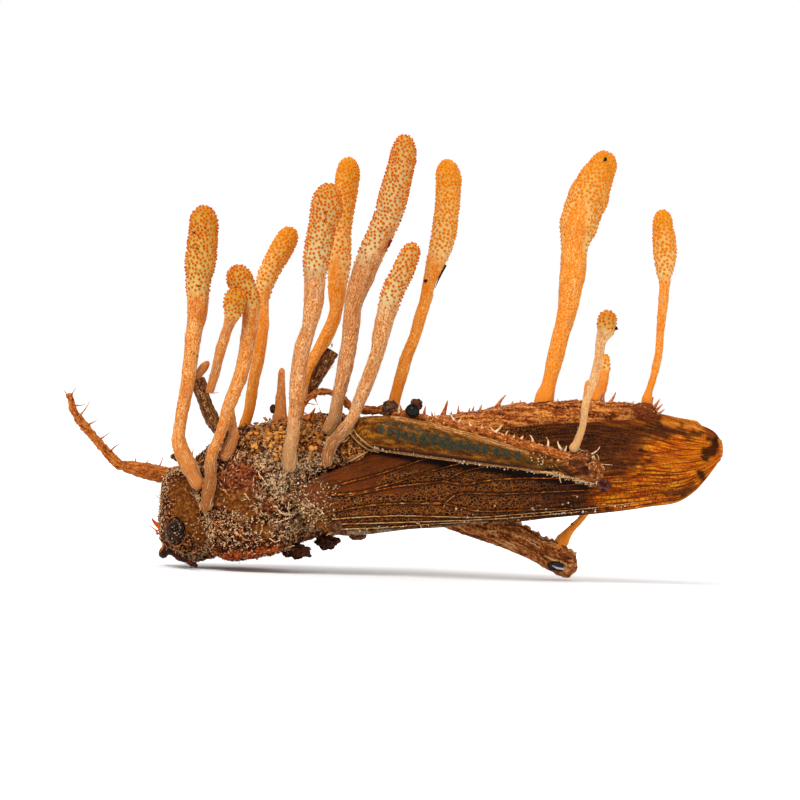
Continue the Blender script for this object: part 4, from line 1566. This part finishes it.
add_balls(30, 40, 0.5, (
    ("black_seed", ["soil_ball"], placed(1.13, -0.98, -6.5), (0.64, 0.62, 0.62), 210.0, 0.14,
     TAR_SKIN, "soil"),))
add_balls(30, 40, 0.28, (
    ("soil_grain", ["soil_lump"], placed(-0.9, -0.75, 0.1), (0.72, 0.66, 0.76), 220.0, 0.55,
     SOIL_SKIN, "soil"),
    ("joint_soil", [], placed(-0.9, -0.98, -5.2), (0.66, 0.5, 0.56), 225.0, 0.6, SOIL_SKIN, "soil")))
add_balls(30, 40, 0.42, (
    ("bark_near", ["bark_flake_front"], placed(-9.35, -13.62, -1.6), (1.25, 0.85, 0.62), 230.0,
     0.75, BARK_SKIN, "soil"),
    ("bark_far", ["bark_flake_hind"], placed(-6.6, -12.75, -0.1), (1.05, 0.65, 0.66), 240.0,
     0.75, BARK_SKIN, "soil")))

LIP_SPIKES = ((186, 468, 184.5, 445), (190, 470, 190, 449), (193, 470, 197, 453), (188, 466, 181.5, 455),
              (197, 470, 203, 456), (184, 462, 178, 452), (201, 468, 207, 454), (192, 462, 194, 448))


def add_lips():
    """Dry palps and orange threads between the head and the first stroma's foot."""
    points, _ = ball(placed(-19.7, -5.15), (0.85, 1.3, 0.42), 30, 40, 0.4, 255.0, 0.5)
    lips = tube(points, peak=0.5 + 0.4 * rough(points, 0.3, 2, 34.0), ochre=0.6)
    feet, tips = feet_and_tips(LIP_SPIKES)
    depth, aside = DRAW.uniform((-1.2, -0.4), (0.2, 0.1), feet.shape).T
    roots = DRAW.uniform(0.08, 0.16, len(feet))
    spikes, faces, _ = thorns(pictured(feet, depth), pictured(tips, depth + aside), roots, 0.15)
    add_piece("lips", [lips, (spikes, faces, {"shade": 0.6})], [CRUST_SKIN, FRINGE_SKIN],
              ["mouthparts"])


add_lips()

COXA_RIMS = (
    ((351, 431), (355, 438), (361, 444), (369, 449), (379, 452)),
    ((354, 428), (357, 434), (363, 440), (371, 446), (381, 450)),
    ((345, 463), (355, 458), (366, 452), (374, 450)),
)


def add_coxa():
    """The near hind leg's root: granular ochre flesh inside three pale rims."""
    root = ball(placed(-4.25, -4.55, -5.5), (1.15, 0.75, 0.95), 44, 60, 0.16, 250.0, 0.35)
    meshes = [tube(root[0], peak=0.5 + 0.4 * rough(root[0], 0.3, 2, 33.0), ochre=1.0)]
    ground = Ground(root, BODY_SURFACE, NEAR_THIGH)
    for line in COXA_RIMS:
        places, out = ground.under(evenly(spline(line), 1.5))
        radii = 0.065 * np.sin(np.linspace(0.35, 2.8, len(places)))
        meshes.append(pipe(places + out * 0.05, radii, 7, shade=0.2))
    add_piece("coxa", meshes, [CRUST_SKIN, CRUMB_SKIN], ["hind_coxa_near"])


add_coxa()


# ---- Grains and fibres, which lie where the photograph shows them ----
NEAR_SIDE = Ground(NEAR_WING, NEAR_THIGH, BODY_SURFACE, HEAD_SURFACE)
THIGH_LOW_EDGE = ((369, 446), (384, 449.5), (396, 451), (420, 454.5), (450, 459.5), (480, 464),
                  (512, 468.5), (545, 473.5), (560, 476))
WING_LOW_EDGE = ((335, 530), (370, 528), (420, 524), (470, 520.5), (520, 516.5), (570, 512), (625, 505))
WING_SPECKLED = ((440, 508), (470, 512), (500, 507), (530, 510), (560, 508), (600, 505))
BROW = ((178, 470), (167, 477), (162, 492), (161, 512), (162, 530))
NECK = ((196, 490), (203, 505), (209, 520), (212, 540))
KNEE = ((562, 452), (575, 453), (588, 456), (598, 463), (600, 472), (597, 480))
KNEE_EDGE = ((548, 470), (560, 475), (572, 479), (584, 482), (596, 484))
JAW = ((170, 550), (180, 556), (191, 559), (202, 553), (207, 545))
FLAKES = ((298, 464), (297.5, 463), (265, 448), (324, 443))
TOP = ((245, 435), (262, 428), (285, 422), (310, 420), (335, 421))
# name, a line or a middle in the photograph's pixels, how many, how far they stray from it, their
# size and skin, and how flat and how deeply sunk they are
GRAINS = (
    ("thigh_crumbs", THIGH_LOW_EDGE, 70, 0.9, 0.07, CRUMB_SKIN),
    ("wing_edge_crumbs", WING_LOW_EDGE, 70, 1.4, 0.07, CRUMB_SKIN),
    ("wing_crumbs", WING_SPECKLED, 30, 4.0, 0.085, CRUMB_SKIN),
    ("neck_crumbs", NECK, 110, 3.0, 0.07, THREAD_SKIN),
    ("wing_root_crumbs", (308, 508), 260, (15, 13), 0.065, THREAD_SKIN),
    ("pronotum_crumbs", (236, 528), 230, (18, 13), 0.06, IVORY_SKIN),
    ("shoulder_crumbs", (286, 474), 260, (16, 20), 0.06, IVORY_SKIN),
    ("ochre_plates", (272, 438), 190, (20, 9), 0.2, OCHRE_SKIN, 0.22, 0.5),
    ("thorax_plates", (318, 436), 90, (14, 10), 0.17, OCHRE_SKIN, 0.22, 0.5),
    ("pale_flakes", FLAKES, 0, 0, 0.2, IVORY_SKIN, 0.4, 0.5),
    ("thigh_tip_crumbs", (547, 458), 60, (9, 4), 0.055, IVORY_SKIN),
    ("brow_crumbs", BROW, 150, 1.6, 0.06, THREAD_SKIN),
)
# the same, then the least and greatest length and thickness, curl, lift, points and skin
FIBRES = (
    ("knee_fibres", KNEE, 26, 1.5, (0.3, 0.8), (0.03, 0.05), 3.0, 0.2, 9, THREAD_SKIN),
    ("thigh_edge_fibres", KNEE_EDGE, 70, 1.1, (0.2, 0.5), (0.03, 0.05), 2.5, 0.15, 9, THREAD_SKIN),
    ("jaw_fibres", JAW, 90, 2.2, (0.2, 0.5), (0.03, 0.05), 2.5, 0.15, 9, THREAD_SKIN),
    ("wing_root_fibres", (309, 506), 150, (16, 15), (0.12, 0.4), (0.025, 0.045), 1.8, 0.1, 5, THREAD_SKIN),
    ("top_fibres", TOP, 160, 4.0, (0.2, 0.6), (0.03, 0.06), 1.0, 0.3, 5, FRINGE_SKIN),
)
FLAT = 0.5  # grains flatter than this have sharp edges


def strewn(where, number, stray):
    """Random pixels about a pixel or a line of them, or the given ones if there is no number."""
    if not number:
        return where
    if np.ndim(where) == 1:
        return DRAW.normal(where, stray, (number, 2))
    dense = evenly(spline(where), count=400)
    return dense[DRAW.integers(0, len(dense), number)] + DRAW.normal(0, stray, (number, 2))


def add_grains(name, where, number, stray, size, skin, flatness=0.6, sink=0.3):
    """Loose grains on the near side."""
    places, out = NEAR_SIDE.under(strewn(where, number, stray))
    sizes = size * DRAW.uniform(0.5, 1.5, len(places))
    points, faces, each = pebbles(places + out * (sizes * (1 - sink))[:, None], sizes, flatness)
    shades = np.repeat(DRAW.uniform(0.15, 1.0, len(places)), each)
    piece = add_piece(name, [(points, faces, {"shade": shades})], [skin])
    if flatness < FLAT:
        piece.data.shade_flat()


def add_fibres(name, where, number, stray, lengths, thickness, curl, lift, count, skin):
    """Longer curled fibres that stand on the near side."""
    places, out = NEAR_SIDE.under(strewn(where, number, stray))
    mesh = threads(
        places - out * 0.03, out, count, DRAW.uniform(*lengths, number),
        DRAW.uniform(*thickness, number), DRAW.uniform(0.4, 1.0, number) * lift,
        DRAW.normal(0, curl, number), np.clip(DRAW.normal(0.6, 0.3, number), 0, 1))
    add_piece(name, [mesh], [skin])


for row in GRAINS:
    add_grains(*row)
for row in FIBRES:
    add_fibres(*row)

# ---- Dirt on the stromata: pixel, size and skin (0 black, 1 dark red) ----
SPECKS = (
    (200.5, 206, 0.1, 0), (199, 286, 0.15, 0), (195, 244, 0.1, 0), (198, 249, 0.12, 0),
    (202, 253, 0.1, 0), (191, 352, 0.08, 0), (194, 354, 0.09, 0), (197, 356, 0.07, 0),
    (194.5, 233, 0.26, 1), (205, 228, 0.14, 1), (325.5, 212, 0.2, 1), (389, 245, 0.2, 1),
    (390, 249, 0.14, 1), (425.5, 280.6, 0.25, 0), (605, 159.5, 0.23, 0), (615.5, 328, 0.22, 0),
    (572, 524, 0.12, 0), (185, 312, 0.07, 0), (356, 330, 0.07, 0), (404, 222, 0.09, 0))
SLIVERS = (((448, 266), (435, 288)), ((391, 240), (385, 252)), ((324, 222), (327, 214)))


def add_specks():
    """Specks and slivers of dirt on the stromata."""
    ground = Ground(*STROMA_SURFACES)
    places, out = ground.under([speck[:2] for speck in SPECKS])
    points, faces, _ = pebbles(places + out * 0.02, [speck[2] for speck in SPECKS], 0.4)
    starts, tips = (ground.under([line[end] for line in SLIVERS])[0] - (0, 0.05, 0) for end in (0, 1))
    slivers = thorns(starts, tips, [0.16, 0.16, 0.05], 0.05)
    parts = (np.repeat([speck[3] for speck in SPECKS], len(faces) // len(SPECKS)),
             np.repeat((0, 1, 1), len(slivers[1]) // len(SLIVERS)))
    add_piece("specks", [(points, faces, {"skin_place": points}), slivers], [BLACK_SKIN, RED_SKIN],
              parts=np.concatenate(parts))


add_specks()

# ---- Pale sinews about the wing's root ----
SINEWS = (
    ((275, 506), (281, 512.6), (289, 514.6), (297.4, 512), (305.6, 507), (314, 503.8)),
    ((288.2, 502), (287.7, 509), (289.2, 514.6), (288.7, 519)), ((288.5, 518), (281, 521), (273.8, 522.3)),
    ((244.6, 494), (247, 497), (249.7, 500.3)), ((269.7, 538.7), (274.9, 541.8), (280, 539.7)),
    ((312.8, 541), (322, 536.5), (332.3, 532.6)),
    ((284, 548.5), (293, 545.5), (302, 543.5)), ((258, 471), (262, 478), (268, 486)))
add_piece("sinews", raised_lines(SINEWS, 0.06, 0.8, NEAR_SIDE, 0.03), [THREAD_SKIN])

# ---- Scales, chips and pits ----
PIT_PLACE = FAR_THIGH_GROUND.at(559, 566)
PIT_GLINT = ((552, 565.5), (557, 568), (563, 569), (568, 568.5))
add_balls(22, 30, 0.4, (
    ("knee_scale", [], NEAR_SIDE.at(604, 486) - (0, 0.12, 0), (0.7, 0.16, 0.5), 260.0, 0.35,
     SCALE_SKIN, "femur"),
    ("far_knee_pit", [], PIT_PLACE + (0, 0.06, 0), (1.05, 0.24, 0.48), 261.0, 0.35, WET_SKIN, "femur"),
    ("wing_scale", [], NEAR_SIDE.at(336.7, 526) - (0, 0.1, 0), (0.56, 0.12, 0.58), 263.0, 0.35,
     SOIL_SKIN, "cuticle"),
    ("thorax_pit", [], NEAR_SIDE.at(260, 449) - (0, 0.16, 0), (0.52, 0.16, 0.28), 265.0, 0.35,
     BARK_SKIN, "cuticle"),
    ("flap_front", [], placed(-3.85, -12.3, -1.2), (0.8, 0.3, 0.34), 1.14, 0.35, SOIL_SKIN, "soil"),
    ("flap_hind", [], placed(-5.75, -11.5, -3.4), (0.7, 0.3, 0.75), 1.45, 0.35, SOIL_SKIN, "soil"),
    ("foot_chip", [], placed(-11.45, -0.8, -0.5), (0.28, 0.25, 0.42), 264.0, 0.35, SOIL_SKIN, "soil"),
    ("seed_flake", [], placed(1.55, -0.36, -6.72), (0.5, 0.24, 0.42), 262.0, 1.1, BARK_SKIN, "soil")))
glint = pipe(pictured(PIT_GLINT, PIT_PLACE[1] - CENTRE[1] - 0.2), (0.03, 0.1, 0.1, 0.03), 8, shade=0.9)
add_piece("far_knee_sliver", [glint], [SLIVER_SKIN])

# ---- Pale lines along the near thigh's upper edge, and the broken one along its lower edge ----
add_piece("thigh_edging", raised_lines(THIGH_RIDGES[:2], 0.05, 0.6, THIGH_GROUND, 0.02)
          + raised_lines(THIGH_RIDGES[2:], 0.03, 0.45, THIGH_GROUND, 0.03), [VEIN_SKIN])

# ---- Short orange palps and bristles on the head's front, and thorns on top of the thorax ----
PALPS = ((160, 526, 152, 518.3), (161, 530, 153, 521.5), (157.5, 534, 148.7, 525), (162, 534, 155, 530),
         (162, 499, 154, 491), (163, 546, 159, 553))
PALP_ROOTS = (0.3, 0.27, 0.13, 0.17, 0.06, 0.12)
TOP_THORNS = ((305.6, 420, 315.3, 407.7), (324, 423, 318.5, 406.4), (312, 421, 313, 414))
TOP_ROOTS = (0.34, 0.12, 0.17)


def add_palps():
    """Palps, whose tips lie nearer to the viewer than their feet."""
    feet, tips = feet_and_tips(PALPS)
    mesh = thorns(pictured(feet, -1.0), pictured(tips, -1.6), PALP_ROOTS, 0.15)
    add_piece("palps", [mesh], [PALP_SKIN])


def add_top_thorns():
    """Thorns that stand on the body where the photograph shows their feet."""
    feet, tips = feet_and_tips(TOP_THORNS)
    starts, _ = Ground(BODY_SURFACE, HEAD_SURFACE).under(feet)
    mesh = thorns(starts, pictured(tips, starts[:, 1] - CENTRE[1]), TOP_ROOTS)
    add_piece("thorax_thorns", [mesh], [FORELEG_SKIN])


add_palps()
add_top_thorns()


# ==== Stage ====
FLOOR_SIDE, FLOOR_DROP = 3.0, 0.0002  # metres


def linked(name, data):
    """A new object of the scene."""
    made = bpy.data.objects.new(name, data)
    bpy.context.scene.collection.objects.link(made)
    return made


def add_floor():
    """A wide pale floor, just under the lowest point."""
    side = FLOOR_SIDE
    mesh = bpy.data.meshes.new("floor")
    corners = [(-side, -side, 0), (side, -side, 0), (side, side * 4, 0), (-side, side * 4, 0)]
    mesh.from_pydata(corners, [], [(0, 1, 2, 3)])
    nodes = Finish("floor", Roughness=0.9, Specular_IOR_Level=0.1)
    grain = nodes.noise(nodes.place(), 60.0)
    mesh.materials.append(nodes.surface(nodes.mix(grain, (0.93, 0.93, 0.93, 1), (0.96, 0.96, 0.96, 1))))
    floor = linked("floor", mesh)
    floor.location.z = -FLOOR_DROP


def add_light(name, place, power, size):
    """A soft square light, `place` in metres from the object's middle, which it faces."""
    light = bpy.data.lights.new(name, "AREA")
    light.energy, light.size = power, size
    lamp = linked(name, light)
    lamp.location = Vector(CENTRE * MM) + Vector(place)
    lamp.rotation_euler = Vector(place).to_track_quat("Z", "Y").to_euler()


def light_scene():
    """A white studio that lights a little less than it shows, a broad soft sun and two lights."""
    world = bpy.data.worlds.new("white studio")
    world.use_nodes = True
    nodes = Nodes(world.node_tree)
    seen_directly = nodes.add("ShaderNodeLightPath").outputs["Is Camera Ray"]
    background = world.node_tree.nodes["Background"]
    background.inputs["Color"].default_value = (1, 1, 1, 1)
    strength = nodes.remap(seen_directly, 0, 1, 0.72, 1.0)
    world.node_tree.links.new(strength, background.inputs["Strength"])
    bpy.context.scene.world = world
    sun = bpy.data.lights.new("sun", "SUN")
    sun.energy, sun.angle = 2.3, math.radians(35)
    lamp = linked("sun", sun)
    lamp.rotation_euler = Vector((-0.45, -0.75, 1.1)).to_track_quat("Z", "Y").to_euler()
    add_light("fill", (0.4, -0.35, 0.1), 0.35, 0.3)
    add_light("back", (0.15, 0.45, 0.3), 0.9, 0.4)


def add_camera():
    """The photograph's camera: level with the drawing's middle and turned with the drawing."""
    data = bpy.data.cameras.new("camera")
    data.sensor_width = 36
    data.lens = data.sensor_width * VIEW_DISTANCE / (PIXEL * PICTURE_SIDE)
    data.clip_start, data.clip_end = 0.01, 20
    camera = linked("camera", data)
    right = Vector((math.cos(REST_TURN), 0, math.sin(REST_TURN)))
    up = Vector((-math.sin(REST_TURN), 0, math.cos(REST_TURN)))
    axes = Matrix((right, up, right.cross(up))).transposed()
    place = Vector(CENTRE * MM) - Vector((0, VIEW_DISTANCE * MM, 0))
    camera.matrix_world = Matrix.Translation(place) @ axes.to_4x4()
    bpy.context.scene.camera = camera


add_floor()
light_scene()
add_camera()
bpy.context.scene.view_settings.view_transform = "Standard"
